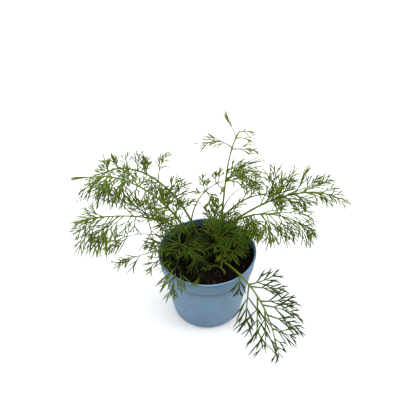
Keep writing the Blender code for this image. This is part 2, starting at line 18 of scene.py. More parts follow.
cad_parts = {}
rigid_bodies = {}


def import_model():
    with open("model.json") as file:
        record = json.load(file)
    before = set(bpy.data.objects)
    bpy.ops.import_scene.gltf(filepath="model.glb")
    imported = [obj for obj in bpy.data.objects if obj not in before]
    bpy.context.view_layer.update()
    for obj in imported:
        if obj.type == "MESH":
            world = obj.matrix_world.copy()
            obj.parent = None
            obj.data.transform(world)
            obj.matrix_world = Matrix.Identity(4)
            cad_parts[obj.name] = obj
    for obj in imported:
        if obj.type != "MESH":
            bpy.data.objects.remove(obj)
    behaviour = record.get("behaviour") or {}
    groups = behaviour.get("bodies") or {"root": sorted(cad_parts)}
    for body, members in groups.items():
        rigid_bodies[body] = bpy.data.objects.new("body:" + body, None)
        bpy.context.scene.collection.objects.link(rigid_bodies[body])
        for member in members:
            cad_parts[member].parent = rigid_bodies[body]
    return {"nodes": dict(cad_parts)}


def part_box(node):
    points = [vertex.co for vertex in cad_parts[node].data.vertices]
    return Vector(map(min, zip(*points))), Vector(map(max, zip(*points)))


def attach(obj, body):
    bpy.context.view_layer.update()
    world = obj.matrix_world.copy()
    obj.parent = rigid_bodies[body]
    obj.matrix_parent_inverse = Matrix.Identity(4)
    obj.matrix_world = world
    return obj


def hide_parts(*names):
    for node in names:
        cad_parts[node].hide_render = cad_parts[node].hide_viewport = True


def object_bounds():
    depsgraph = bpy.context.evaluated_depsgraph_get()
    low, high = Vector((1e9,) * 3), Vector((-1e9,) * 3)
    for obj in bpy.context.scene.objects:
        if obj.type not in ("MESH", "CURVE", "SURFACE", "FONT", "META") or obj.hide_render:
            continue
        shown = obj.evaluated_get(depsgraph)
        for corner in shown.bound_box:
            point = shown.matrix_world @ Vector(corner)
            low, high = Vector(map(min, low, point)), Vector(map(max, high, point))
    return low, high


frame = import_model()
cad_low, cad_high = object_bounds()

MM = 0.001
SEED = 20
print("nodes:", ", ".join(sorted(frame["nodes"])))
print("CAD box in mm:", [round(side / MM, 1) for side in cad_high - cad_low])

# %% [markdown]
# ## The camera
# The photo looks down at the plant from 75 cm away. The rim of the pot gives the angle: a circle
# seen from above is an ellipse, and its height over its width is the sine of the angle. The camera
# looks down a little less steeply than the rim lies below it, so the pot comes low in the picture.
# The lens is set as a length on a 36 mm sensor, so the picture's size in pixels doesn't matter.

# %% Place the camera
EYE_DISTANCE = 750 * MM
EYE_RISE = math.radians(43.8)
EYE_SIDE = 0.75 * MM
LOOK_DOWN = math.radians(40.35)
LENS = 60.7
SENSOR_WIDTH = 36

_, pot_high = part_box("pot")
rim_centre = Vector((0, 0, pot_high.z))
camera_data = bpy.data.cameras.new("photo_view")
camera_data.sensor_width = SENSOR_WIDTH
camera_data.lens = LENS
camera = bpy.data.objects.new("photo_view", camera_data)
camera.location = rim_centre + Vector(
    (EYE_SIDE, -EYE_DISTANCE * math.cos(EYE_RISE), EYE_DISTANCE * math.sin(EYE_RISE))
)
camera.rotation_euler.x = math.pi / 2 - LOOK_DOWN
bpy.context.scene.collection.objects.link(camera)
bpy.context.scene.camera = camera
print("camera at", [round(x, 3) for x in camera.location])

# %% [markdown]
# ## Small tools for nodes
# A material in Blender is a tree of nodes. Adding nodes, filling their inputs and linking them takes
# many lines, so one helper does all three: an input that is given a socket is linked, and one that
# is given a number, a colour or a vector is set.

# %% Helpers for nodes
def fill_inputs(tree, node, inputs):
    """Links each named input to the socket given for it, or sets it to the value given."""
    for name, value in inputs.items():
        if isinstance(value, bpy.types.NodeSocket):
            tree.links.new(value, node.inputs[name])
        else:
            node.inputs[name].default_value = value
    return node


def add_node(tree, kind, inputs=None, **settings):
    """Adds a node with its settings, then fills its inputs."""
    node = tree.nodes.new(kind)
    for name, value in settings.items():
        setattr(node, name, value)
    return fill_inputs(tree, node, inputs or {})


def mix_colours(tree, share, first, second):
    """The second colour over the first, by a share."""
    return add_node(tree, "ShaderNodeMix", {0: share, 6: first, 7: second}, data_type="RGBA").outputs[2]


def object_place(tree, stretch=(1, 1, 1)):
    """The point on the surface in the object's own metres, stretched for a grain along an axis."""
    place = add_node(tree, "ShaderNodeTexCoord").outputs["Object"]
    return add_node(
        tree, "ShaderNodeVectorMath", {0: place, 1: stretch}, operation="MULTIPLY"
    ).outputs[0]


print("node helpers ready")

# %% [markdown]
# ## Small tools for materials
# Every finish starts from a Principled shader, and effects that come back are node groups with
# named sockets. Colours are written as a screen shows them, which is easy to read and to compare
# with a picture, and one helper turns them into the linear values that Blender works in.

# %% Helpers for materials, groups and colours
def new_material(name):
    """A material, its tree and its Principled shader."""
    material = bpy.data.materials.new(name)
    material.use_nodes = True
    return material, material.node_tree, material.node_tree.nodes["Principled BSDF"]


def new_group(name, inputs, outputs):
    """A node group with named sockets: its tree, what comes in, and what goes out."""
    group = bpy.data.node_groups.new(name, "ShaderNodeTree")
    for label, kind, value in inputs:
        socket = group.interface.new_socket(name=label, in_out="INPUT", socket_type=kind)
        socket.default_value = value
    for label, kind in outputs:
        group.interface.new_socket(name=label, in_out="OUTPUT", socket_type=kind)
    given = group.nodes.new("NodeGroupInput").outputs
    result = group.nodes.new("NodeGroupOutput").inputs
    return group, given, result


def use_group(tree, group, inputs):
    """Places a group in a tree, with its own values."""
    return fill_inputs(tree, add_node(tree, "ShaderNodeGroup", node_tree=group), inputs)


def shade(red, green, blue):
    """A colour as a screen shows it, 0 to 255, as the linear values that Blender works in."""
    linear = []
    for value in (red / 255, green / 255, blue / 255):
        linear.append(value / 12.92 if value <= 0.04045 else ((value + 0.055) / 1.055) ** 2.4)
    return (*linear, 1.0)


print("middle grey in linear light:", round(shade(128, 128, 128)[0], 3))

# %% [markdown]
# ## Effects that several materials share
# No real surface has one flat colour. Soft patches of two colours and a fine relief come back on the
# pot, the soil and the plant, and the tint of a limb on threads and stems, so each is a node group.
# The small specks are one too, which keeps the pot's own material short. A group gives out only
# colours, masks and normals, and each material sets its own values in it. The first one makes
# patches: noise is stretched to a mask, and the mask moves one colour to the other.

# %% Group: soft patches of two colours
patches, given, result = new_group(
    "patches",
    [
        ("Place", "NodeSocketVector", (0, 0, 0)),
        ("Scale", "NodeSocketFloat", 100.0),
        ("Dark", "NodeSocketColor", (0, 0, 0, 1)),
        ("Light", "NodeSocketColor", (1, 1, 1, 1)),
    ],
    [("Color", "NodeSocketColor"), ("Mask", "NodeSocketFloat")],
)
cloud = add_node(
    patches, "ShaderNodeTexNoise",
    {"Vector": given["Place"], "Scale": given["Scale"], "Detail": 4.0, "Roughness": 0.6},
)
cloud_mask = add_node(
    patches, "ShaderNodeMapRange",
    {"Value": cloud.outputs["Fac"], "From Min": 0.35, "From Max": 0.65},
).outputs["Result"]
patches.links.new(cloud_mask, result["Mask"])
patches.links.new(mix_colours(patches, cloud_mask, given["Dark"], given["Light"]), result["Color"])
print("group:", patches.name)

# %% [markdown]
# ## Specks
# Specks are the cells of a Voronoi texture. The distance to the nearest cell's middle becomes a
# mask, which is 1 in the middle and fades to 0 at the speck's size.

# %% Group: small specks
specks, given, result = new_group(
    "specks",
    [
        ("Place", "NodeSocketVector", (0, 0, 0)),
        ("Scale", "NodeSocketFloat", 500.0),
        ("Size", "NodeSocketFloat", 0.2),
    ],
    [("Mask", "NodeSocketFloat")],
)
cells = add_node(
    specks, "ShaderNodeTexVoronoi", {"Vector": given["Place"], "Scale": given["Scale"]}
)
speck_mask = add_node(
    specks, "ShaderNodeMapRange",
    {"Value": cells.outputs["Distance"], "From Min": given["Size"], "From Max": 0.0},
).outputs["Result"]
specks.links.new(speck_mask, result["Mask"])
print("group:", specks.name)

# %% [markdown]
# ## Fine relief
# Moulded plastic, soil and leaves have a grain that is too fine for the mesh. A bump node turns
# noise into a normal that catches the light and leaves the shape alone. Its depth is a real one, in
# metres.

# %% Group: fine relief
relief, given, result = new_group(
    "relief",
    [
        ("Place", "NodeSocketVector", (0, 0, 0)),
        ("Scale", "NodeSocketFloat", 1000.0),
        ("Depth", "NodeSocketFloat", 0.0001),
    ],
    [("Normal", "NodeSocketVector")],
)
grain = add_node(
    relief, "ShaderNodeTexNoise",
    {"Vector": given["Place"], "Scale": given["Scale"], "Detail": 3.0, "Roughness": 0.55},
)
bump = add_node(
    relief, "ShaderNodeBump", {"Height": grain.outputs["Fac"], "Distance": given["Depth"]}
)
relief.links.new(bump.outputs["Normal"], result["Normal"])
print("group:", relief.name)

# %% [markdown]
# ## The tint of a limb
# Each limb of the plant carries two marks of its own: a tint, from dark at 0 to light at 1, and an
# age, which turns it yellow. A tint below 0 is painted shade: it says how deep the limb lies in the
# shade of others.

# %% Group: the tint of a limb
limb_tint, given, result = new_group(
    "limb_tint",
    [
        ("Dark", "NodeSocketColor", (0, 0, 0, 1)),
        ("Light", "NodeSocketColor", (1, 1, 1, 1)),
        ("Aged", "NodeSocketColor", (1, 1, 0, 1)),
        ("Shaded", "NodeSocketColor", (0, 0, 0, 1)),
    ],
    [("Color", "NodeSocketColor")],
)
tint_mark = add_node(limb_tint, "ShaderNodeAttribute", attribute_name="tint").outputs["Fac"]
age_mark = add_node(limb_tint, "ShaderNodeAttribute", attribute_name="age").outputs["Fac"]
shaded = add_node(
    limb_tint, "ShaderNodeMapRange", {"Value": tint_mark, "From Min": 0.0, "From Max": -1.0}
).outputs["Result"]
grown = mix_colours(limb_tint, tint_mark, given["Dark"], given["Light"])
aged = mix_colours(limb_tint, age_mark, grown, given["Aged"])
limb_tint.links.new(mix_colours(limb_tint, shaded, aged, given["Shaded"]), result["Color"])
print("group:", limb_tint.name)

# %% [markdown]
# ## Small tools for meshes
# The soil and the plant are each made of hundreds of small parts. Separate objects would be slow,
# so a gatherer collects the points and faces of every part and makes one mesh of them. It also
# keeps the marks of each point, which the materials read as attributes.

# %% Gather many parts in one mesh
class Gather:
    """Collects many small parts, then makes one mesh of them."""

    def __init__(self):
        self.points = []
        self.faces = []
        self.finishes = []
        self.tints = []
        self.ages = []

    def add(self, points, faces, finish=0, tint=0.5, age=0.0):
        """Adds a part with its finish's number, its tint, and an age for each point or for all."""
        first = len(self.points)
        self.points += [tuple(point) for point in points]
        self.faces += [tuple(first + i for i in face) for face in faces]
        self.finishes += [finish] * len(faces)
        self.tints += [tint] * len(points)
        self.ages += age if isinstance(age, list) else [age] * len(points)

    def piece(self, name, materials):
        """The object, smooth all over, that rides on the one body of the frame."""
        mesh = bpy.data.meshes.new(name)
        mesh.from_pydata(self.points, [], self.faces)
        for material in materials:
            mesh.materials.append(material)
        mesh.polygons.foreach_set("material_index", self.finishes)
        for mark, values in (("tint", self.tints), ("age", self.ages)):
            mesh.attributes.new(mark, "FLOAT", "POINT").data.foreach_set("value", values)
        mesh.shade_smooth()
        return add_piece(name, mesh)


def add_piece(name, mesh):
    """Links an object for a mesh and lets it ride on the frame's body."""
    piece = bpy.data.objects.new(name, mesh)
    bpy.context.scene.collection.objects.link(piece)
    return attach(piece, "root")


print("gatherer ready")

# %% [markdown]
# ## Limbs
# Fibres, threads, stalks and stems are all the same thing: a tube along a line that gets thinner and
# closes in a point. A curve with a bevel could make it, but a tube made by hand has just the sides
# that its size asks for and can be squeezed flat or ridged. Each ring is lined up with the one
# before, so that the tube doesn't twist.

# %% Make a limb
SIDE_LEAST = 0.1


def limb(line, widths, sides, flat=1.0, ridge=0.0):
    """Points and faces of a closed tube that ends in a point, squeezed flat or ridged if asked."""
    points = []
    sideways = None
    for i, width in enumerate(widths[:-1]):
        ahead = (line[i + 1] - line[max(i - 1, 0)]).normalized()
        if sideways is None:
            sideways = ahead.cross(Vector((0, 0, 1)))
            if sideways.length < SIDE_LEAST:
                sideways = ahead.orthogonal()
        sideways = (sideways - ahead * sideways.dot(ahead)).normalized()
        across = ahead.cross(sideways)
        for k in range(sides):
            turn = 2 * math.pi * k / sides
            reach = width * (1 + ridge * (-1) ** k)
            points.append(
                line[i] + sideways * (reach * math.cos(turn)) + across * (reach * flat * math.sin(turn))
            )
    rings = len(widths) - 1
    faces = [tuple(reversed(range(sides)))]
    for i in range(rings - 1):
        for k in range(sides):
            a, b = i * sides + k, i * sides + (k + 1) % sides
            faces.append((a, b, b + sides, a + sides))
    points.append(line[-1])
    last = (rings - 1) * sides
    faces += [(last + k, last + (k + 1) % sides, len(points) - 1) for k in range(sides)]
    return points, faces


print("limb helper ready")

# %% [markdown]
# ## The pot's shell
# The real pot is moulded from thin polypropylene: a lip, a collar with a step under it that lets
# pots stack, a tapering wall, and a foot with shallow notches for the water to run out. It is round,
# so it could be a lathe curve or a Screw modifier. Here its outline is a list of corners, each a
# radius, a height and a rounding, and bmesh spins it round the Z axis. The inside and the outside
# are two lists, since later steps ask for the wall's radius at a height.

# %% The pot's outline
LIP_HEIGHT = 1.4 * MM
LIP_PROUD = 1.0 * MM
LIP_GROOVE = 0.35 * MM
COLLAR_HEIGHT = 15.0 * MM
COLLAR_TAPER = 0.7 * MM
COLLAR_STEP = 1.0 * MM
WALL = 1.1 * MM
BASE_RADIUS = 37.5 * MM
CORNER = 4.4 * MM
FOOT_INNER = 27.0 * MM
CENTRE_DISC = 13.0 * MM
CHANNEL_RISE = 2.0 * MM
CHANNEL_SLOPE = 1.0 * MM
FLOOR_TOP = 3.4 * MM
FLOOR_FILLET = 2.4 * MM
SHARP = 0.4 * MM

RIM_RADIUS = pot_high.x
POT_HEIGHT = pot_high.z
COLLAR_LOW = POT_HEIGHT - COLLAR_HEIGHT
MOUTH = RIM_RADIUS - LIP_PROUD - WALL
STEP_RADIUS = MOUTH - COLLAR_TAPER - COLLAR_STEP

inner_corners = [
    (0, FLOOR_TOP, 0),
    (BASE_RADIUS - WALL - FLOOR_FILLET / 2, FLOOR_TOP, FLOOR_FILLET),
    (STEP_RADIUS, COLLAR_LOW - COLLAR_STEP, SHARP),
    (STEP_RADIUS + COLLAR_STEP, COLLAR_LOW + COLLAR_STEP, SHARP),
    (MOUTH, POT_HEIGHT, SHARP),
]
under_lip = POT_HEIGHT - LIP_HEIGHT
collar_top = RIM_RADIUS - LIP_PROUD
outer_corners = [
    (RIM_RADIUS, POT_HEIGHT, LIP_HEIGHT / 2),
    (RIM_RADIUS, under_lip, SHARP),
    (collar_top - LIP_GROOVE, under_lip - LIP_GROOVE, LIP_GROOVE),
    (collar_top, under_lip - 3 * LIP_GROOVE, LIP_GROOVE),
    (collar_top - COLLAR_TAPER, COLLAR_LOW, SHARP),
    (collar_top - COLLAR_TAPER - COLLAR_STEP, COLLAR_LOW - COLLAR_STEP / 2, SHARP),
    (BASE_RADIUS - SHARP, 0, CORNER),
    (FOOT_INNER, 0, SHARP),
    (FOOT_INNER - CHANNEL_SLOPE, CHANNEL_RISE, SHARP),
    (CENTRE_DISC + CHANNEL_SLOPE, CHANNEL_RISE, SHARP),
    (CENTRE_DISC, 0, SHARP),
    (0, 0, 0),
]
print("corners of the pot:", len(inner_corners + outer_corners))

# %% [markdown]
# ## Round corners
# A moulded part has no sharp edge: plastic doesn't fill one, and a thin highlight runs along every
# round one. Each corner is cut off by a curve that starts and ends at its rounding's distance, or
# sooner where the neighbour is close.

# %% Round the outline
CURVE_STEPS = 4
MOST_CUT = 0.45


def rounded(corners):
    """The corners as points in the XZ plane, each one replaced by a curve that cuts it off."""
    spots = [Vector((radius, 0, height)) for radius, height, _ in corners]
    points = []
    for i, (spot, (_, _, cut)) in enumerate(zip(spots, corners)):
        if cut == 0:
            points.append(spot)
            continue
        before, after = spots[i - 1] - spot, spots[i + 1] - spot
        start = spot + before.normalized() * min(cut, before.length * MOST_CUT)
        end = spot + after.normalized() * min(cut, after.length * MOST_CUT)
        for step in range(CURVE_STEPS + 1):
            t = step / CURVE_STEPS
            points.append(start * (1 - t) ** 2 + spot * 2 * t * (1 - t) + end * t**2)
    return points


pot_outline = rounded(inner_corners + outer_corners)
print("points in the pot's outline:", len(pot_outline))

# %% [markdown]
# ## Turning the shell
# A turned shape closes on itself, so the last ring of points has to merge with the first, and the
# points on the axis with each other. Left double, they would show as a seam and spoil the cuts.

# %% Spin the shell
POT_SEGMENTS = 144
MERGE = 0.001 * MM


def spun(outline, segments):
    """A mesh turned round the Z axis from an outline that starts and ends on it."""
    shape = bmesh.new()
    verts = [shape.verts.new(point) for point in outline]
    edges = [shape.edges.new(pair) for pair in zip(verts, verts[1:])]
    bmesh.ops.spin(
        shape, geom=verts + edges, axis=(0, 0, 1), cent=(0, 0, 0), angle=2 * math.pi,
        steps=segments, use_merge=True,
    )
    bmesh.ops.remove_doubles(shape, verts=shape.verts, dist=MERGE)
    bmesh.ops.recalc_face_normals(shape, faces=shape.faces)
    return shape


shape = spun(pot_outline, POT_SEGMENTS)
pot_mesh = bpy.data.meshes.new("herb_pot")
shape.to_mesh(pot_mesh)
shape.free()
herb_pot = add_piece("herb_pot", pot_mesh)
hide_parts("pot")
print("faces in the shell:", len(pot_mesh.polygons))

# %% [markdown]
# ## Drainage holes and notches
# Water leaves through holes in the floor's channel and then under the foot's notches. A cylinder
# stands for each hole and a box with rounded long edges for each notch, all in one collection. They
# reach past the foot and the floor, because faces that lie on each other cut badly.

# %% Cutters for the holes and the notches
DRAIN_HOLES = 8
DRAIN_RADIUS = 3.0 * MM
DRAIN_CIRCLE = 20.0 * MM
DRAIN_SIDES = 24
NOTCHES = 4
NOTCH_WIDTH = 17.0 * MM
NOTCH_HEIGHT = 2.8 * MM
NOTCH_ROUND = 0.7 * MM
NOTCH_ROUND_STEPS = 3
FRONT_NOTCH = math.radians(-95)

cutters = bpy.data.collections.new("pot_cutters")
bpy.context.scene.collection.children.link(cutters)


def add_cutter(name, shape, place):
    """Links a cutter's shape, moved by a matrix, and frees the shape."""
    mesh = bpy.data.meshes.new(name)
    shape.to_mesh(mesh)
    shape.free()
    mesh.transform(place)
    cutters.objects.link(bpy.data.objects.new(name, mesh))


for i in range(DRAIN_HOLES):
    shape = bmesh.new()
    bmesh.ops.create_cone(
        shape, cap_ends=True, segments=DRAIN_SIDES, depth=4 * FLOOR_TOP,
        radius1=DRAIN_RADIUS, radius2=DRAIN_RADIUS,
    )
    turn = Matrix.Rotation(2 * math.pi * (i + 0.5) / DRAIN_HOLES, 4, "Z")
    add_cutter(f"drain_{i}", shape, turn @ Matrix.Translation((DRAIN_CIRCLE, 0, 0)))
foot_middle = (BASE_RADIUS + FOOT_INNER) / 2
for i in range(NOTCHES):
    shape = bmesh.new()
    bmesh.ops.create_cube(shape, size=1)
    bmesh.ops.scale(shape, verts=shape.verts, vec=(BASE_RADIUS / 2, NOTCH_WIDTH, 2 * NOTCH_HEIGHT))
    long_edges = [e for e in shape.edges if abs(e.verts[0].co.x - e.verts[1].co.x) > NOTCH_WIDTH / 2]
    bmesh.ops.bevel(
        shape, geom=long_edges, offset=NOTCH_ROUND, segments=NOTCH_ROUND_STEPS, affect="EDGES"
    )
    turn = Matrix.Rotation(FRONT_NOTCH + 2 * math.pi * i / NOTCHES, 4, "Z")
    add_cutter(f"notch_{i}", shape, turn @ Matrix.Translation((foot_middle, 0, 0)))

# %% [markdown]
# ## The cut
# One Boolean modifier takes the whole collection of cutters at once. The cutters are removed when
# the cut is applied, so that only the pot's own faces are left.

# %% Cut the shell
cut = herb_pot.modifiers.new("Cut", "BOOLEAN")
cut.operand_type = "COLLECTION"
cut.collection = cutters
graph = bpy.context.evaluated_depsgraph_get()
cut_mesh = bpy.data.meshes.new_from_object(herb_pot.evaluated_get(graph))
herb_pot.modifiers.clear()
herb_pot.data = cut_mesh
for cutter in list(cutters.objects):
    bpy.data.objects.remove(cutter)
bpy.data.collections.remove(cutters)
print("faces after the cut:", len(cut_mesh.polygons))

# %% [markdown]
# ## Marks for the pot's material
# Soil has splashed the inside of the wall near the soil line, and the collar, which takes a painted
# shade, stands proud of the wall on the outside only. A material can't tell inside from outside by
# height alone. So each point of the mesh gets two marks, worked out from its radius and height,
# which the material reads.

# %% Mark the splashed band and the collar, and smooth the shell
SPLASH_HEIGHT = 6.0 * MM
SOIL_LEVEL = 76.0 * MM
SHARP_ANGLE = math.radians(50)


def radius_at(corners, height):
    """The radius of a row of corners at a height, which they pass once."""
    for (r0, z0, _), (r1, z1, _) in zip(corners, corners[1:]):
        if min(z0, z1) <= height <= max(z0, z1) and z0 != z1:
            return r0 + (r1 - r0) * (height - z0) / (z1 - z0)
    return corners[-1][0]


splashes = []
collars = []
for vert in cut_mesh.vertices:
    x, y, z = vert.co
    inside = math.hypot(x, y) < radius_at(inner_corners, z) + WALL / 4
    splashes.append(max(0, 1 - abs(z - SOIL_LEVEL) / SPLASH_HEIGHT) if inside else 0)
    collars.append(1 if z > COLLAR_LOW - COLLAR_STEP / 4 and not inside else 0)
for mark, values in (("splash", splashes), ("collar", collars)):
    cut_mesh.attributes.new(mark, "FLOAT", "POINT").data.foreach_set("value", values)
cut_mesh.shade_smooth()
cut_mesh.set_sharp_from_angle(angle=SHARP_ANGLE)
print("points in the splashed band:", sum(1 for splash in splashes if splash > 0))

# %% [markdown]
# ## The pot's plastic
# The plastic is a satin light blue. Moulding leaves faint rings round it and handling leaves soft
# scuffs, so the colour moves a little between two blues, the gloss moves with it, and a relief that
# is stretched along the wall catches the light. Drops of soil show only in the splashed band.

# %% The blue, the scuffs, the rings and the drops
BLUE_DARK = shade(71, 105, 130)
BLUE_LIGHT = shade(82, 117, 143)

plastic, tree, shader = new_material("satin_blue_plastic")
place = object_place(tree)
tone = use_group(tree, patches, {"Place": place, "Scale": 35.0, "Dark": BLUE_DARK, "Light": BLUE_LIGHT})
scuffs = use_group(tree, patches, {"Place": object_place(tree, (1, 1, 3)), "Scale": 160.0})
drops = use_group(tree, specks, {"Place": place, "Scale": 420.0, "Size": 0.42})
splash = add_node(tree, "ShaderNodeAttribute", attribute_name="splash").outputs["Fac"]
film = add_node(
    tree, "ShaderNodeMath", {0: splash, 1: drops.outputs["Mask"]}, operation="MULTIPLY"
).outputs[0]
rings = use_group(tree, relief, {"Place": object_place(tree, (1, 1, 14)), "Scale": 60.0, "Depth": 0.00012})
print("nodes so far:", len(tree.nodes))

# %% [markdown]
# ## Painted shade under the lip and the step
# The lip and the step jut out by only a millimetre, yet a darker line of shade lies under each. The
# studio's wide lights wash such lines out. Since they follow the height alone, the material paints
# the shade in: a narrow fade under the lip, and under the step a wide one that drops off as a cube,
# so that it is dark only close to the edge. The collar's face takes a light painted shade all over.

# %% Painted shade by height
# painted shade: dark under the step and the lip, and a little darker over the whole collar
STEP_FADE = 16.0 * MM
STEP_CURVE = 3.0
LIP_FADE = 2.0 * MM
COLLAR_SHADE_SHARE = 0.14
LIP_SHADE_SHARE = 0.6

height = add_node(tree, "ShaderNodeSeparateXYZ", {"Vector": place}).outputs["Z"]
near_step = add_node(
    tree, "ShaderNodeMapRange",
    {"Value": height, "From Min": COLLAR_LOW - STEP_FADE, "From Max": COLLAR_LOW},
).outputs["Result"]
below_step = add_node(
    tree, "ShaderNodeMath", {0: height, 1: COLLAR_LOW - COLLAR_STEP / 4}, operation="LESS_THAN"
).outputs[0]
step_curve = add_node(
    tree, "ShaderNodeMath", {0: near_step, 1: STEP_CURVE}, operation="POWER"
).outputs[0]
under_step = add_node(
    tree, "ShaderNodeMath", {0: step_curve, 1: below_step}, operation="MULTIPLY"
).outputs[0]
under_lip_shade = add_node(
    tree, "ShaderNodeMapRange",
    {"Value": height, "From Min": under_lip - LIP_FADE, "From Max": under_lip,
     "To Min": COLLAR_SHADE_SHARE, "To Max": LIP_SHADE_SHARE},
).outputs["Result"]
collar_shade_mask = add_node(tree, "ShaderNodeAttribute", attribute_name="collar").outputs["Fac"]
shade_share = add_node(
    tree, "ShaderNodeMix", {0: collar_shade_mask, 2: under_step, 3: under_lip_shade}, data_type="FLOAT"
).outputs[0]
print("shade on the collar:", COLLAR_SHADE_SHARE, "and under the lip:", LIP_SHADE_SHARE)

# %% [markdown]
# ## The finished plastic
# The parts come together in layers: the blues, the painted shade over them, a painted highlight on
# the top of the lip, where the light catches it, and the film of soil. Shine and the index of
# refraction are the same all over, so they are set on the shader's own sockets.

# %% Material: satin blue plastic
LIP_PAINTED_HIGHLIGHT = shade(102, 137, 162)
STEP_SHADE = shade(26, 44, 58)
SOIL_FILM = shade(58, 52, 40)
LIP_EDGE = 0.2 * MM

# the painted shade goes over the blues
wall = mix_colours(tree, shade_share, tone.outputs["Color"], STEP_SHADE)
# painted highlight: a paler blue on the top face of the lip
lip_highlight_mask = add_node(
    tree, "ShaderNodeMath", {0: height, 1: POT_HEIGHT - LIP_EDGE}, operation="GREATER_THAN"
).outputs[0]
wall = mix_colours(tree, lip_highlight_mask, wall, LIP_PAINTED_HIGHLIGHT)
roughness = add_node(
    tree, "ShaderNodeMapRange", {"Value": scuffs.outputs["Mask"], "To Min": 0.36, "To Max": 0.5}
).outputs["Result"]
fill_inputs(tree, shader, {
    "Base Color": mix_colours(tree, film, wall, SOIL_FILM),
    "Roughness": roughness,
    "Normal": rings.outputs["Normal"],
    "Specular IOR Level": 0.45,
    "IOR": 1.49,
})
cut_mesh.materials.append(plastic)
print("material:", plastic.name)

# %% [markdown]
# ## The soil's surface
# Potting soil is peat and fine bark: a bed of soft humps, with loose crumbs and short fibres on it.
# Its height at a place is a function, made of the solid's own broad humps and two layers of noise,
# clods and grains. Everything that lies on the soil asks the same function where to lie.

# %% The height of the soil
SOIL_HUMPS = [
    (44 * MM, 57 * MM, 0.8, 0.6 * MM),
    (25 * MM, -38 * MM, 2.0, 0.36 * MM),
    (94 * MM, 31 * MM, 1.6, 0.24 * MM),
]
CLODS = (9.0, 0.9 * MM)
GRAINS = (2.2, 0.55 * MM)
NOISE_FADE = 0.8
NOISE_STEP = 2.0
NOISE_LAYERS = 4


def soil_height(x, y):
    """The soil's top: broad humps, then clods, then grains, each a size in mm and a height."""
    height = SOIL_LEVEL
    for along_x, along_y, shift, rise in SOIL_HUMPS:
        height += rise * math.sin(2 * math.pi * (x / along_x + y / along_y) + shift)
    for size, rise in (CLODS, GRAINS):
        place = Vector((x, y, 0)) / (size * MM)
        height += rise * noise.fractal(place, NOISE_FADE, NOISE_STEP, NOISE_LAYERS)
    return height


print("soil at the middle, in mm:", round(soil_height(0, 0) / MM, 1))

# %% [markdown]
# ## The soil's bed
# A displaced plane alone looks like cloth, and crumbs alone would need thousands to fill the pot. So
# the bed is a round grid on that height, closed by a side that follows the pot's inner wall, and
# the crumbs and fibres are strewn over it.

# %% Make the bed
GAP = 0.3 * MM
BED_RINGS = 64
BED_SEGMENTS = 180
BED_TINT = 0.3

soil = Gather()
bed_edge = radius_at(inner_corners, SOIL_LEVEL) - GAP
bed = [(0, 0, soil_height(0, 0))]
for ring in range(1, BED_RINGS + 1):
    radius = bed_edge * ring / BED_RINGS
    for k in range(BED_SEGMENTS):
        turn = 2 * math.pi * k / BED_SEGMENTS
        x, y = radius * math.cos(turn), radius * math.sin(turn)
        bed.append((x, y, soil_height(x, y)))
side_heights = [
    COLLAR_LOW + COLLAR_STEP, COLLAR_LOW - COLLAR_STEP, FLOOR_TOP + FLOOR_FILLET, FLOOR_TOP + GAP
]
for height in side_heights:
    radius = radius_at(inner_corners, height) - GAP
    for k in range(BED_SEGMENTS):
        turn = 2 * math.pi * k / BED_SEGMENTS
        bed.append((radius * math.cos(turn), radius * math.sin(turn), height))
bed_faces = [(0, 1 + k, 1 + (k + 1) % BED_SEGMENTS) for k in range(BED_SEGMENTS)]
for ring in range(BED_RINGS + len(side_heights) - 1):
    first = 1 + ring * BED_SEGMENTS
    for k in range(BED_SEGMENTS):
        a, b = first + k, first + (k + 1) % BED_SEGMENTS
        bed_faces.append((a, a + BED_SEGMENTS, b + BED_SEGMENTS, b))
last = len(bed) - BED_SEGMENTS
bed_faces.append(tuple(last + k for k in reversed(range(BED_SEGMENTS))))
soil.add(bed, bed_faces, tint=BED_TINT)
print("faces in the bed:", len(bed_faces))

# %% [markdown]
# ## The form of a crumb
# Sieved peat falls into rough lumps. A lump is a small ball whose points are pushed in and out by
# noise, then squashed and turned any way. One ball serves them all: its points are copied, and a
# random shift in the noise makes every copy a new lump.

# %% Make a crumb
BALL_DETAIL = 2
CRUMB_PUSH = 0.55
CRUMB_LUMPS = 1.4
CRUMB_WIDTH = (0.55, 1)
CRUMB_HEIGHT = (0.35, 0.9)
NOISE_SPAN = 90

shape = bmesh.new()
bmesh.ops.create_icosphere(shape, subdivisions=BALL_DETAIL, radius=1)
ball_points = [vert.co.copy() for vert in shape.verts]
ball_faces = [tuple(vert.index for vert in face.verts) for face in shape.faces]
shape.free()


def crumb(place, size, draw):
    """The points of a lump: a ball whose points are pushed in and out, then squashed and turned."""
    shift = Vector([draw.uniform(0, NOISE_SPAN) for _ in range(3)])
    squash = Vector((1, draw.uniform(*CRUMB_WIDTH), draw.uniform(*CRUMB_HEIGHT)))
    turn = Quaternion((draw.gauss(0, 1), draw.gauss(0, 1), draw.gauss(0, 1), draw.gauss(0, 1)))
    turn.normalize()
    points = []
    for point in ball_points:
        pushed = point * (1 + CRUMB_PUSH * noise.noise(point * CRUMB_LUMPS + shift))
        points.append(place + turn @ (pushed * squash) * size)
    return points


print("points in a crumb:", len(ball_points))

# %% [markdown]
# ## Crumbs
# The size of a crumb is a random number to a power, so most are small and a few are large. The tint
# is drawn the same way: most of the soil is dark peat, and a little is bark. A crumb sinks in nearly
# to its middle, which lies only a fifth of its radius over the bed.

# %% Strew the crumbs
CRUMBS = 900
CRUMB_SMALL = 0.4 * MM
CRUMB_LARGE = 1.9 * MM
CRUMB_SIZES = 3.5
CRUMB_TINTS = 2
CRUMB_LIFT = 0.2


def somewhere(edge, draw):
    """A place on the soil within an edge: the root spreads the places evenly over the circle."""
    radius = edge * math.sqrt(draw.random())
    turn = draw.uniform(0, 2 * math.pi)
    return radius * math.cos(turn), radius * math.sin(turn)


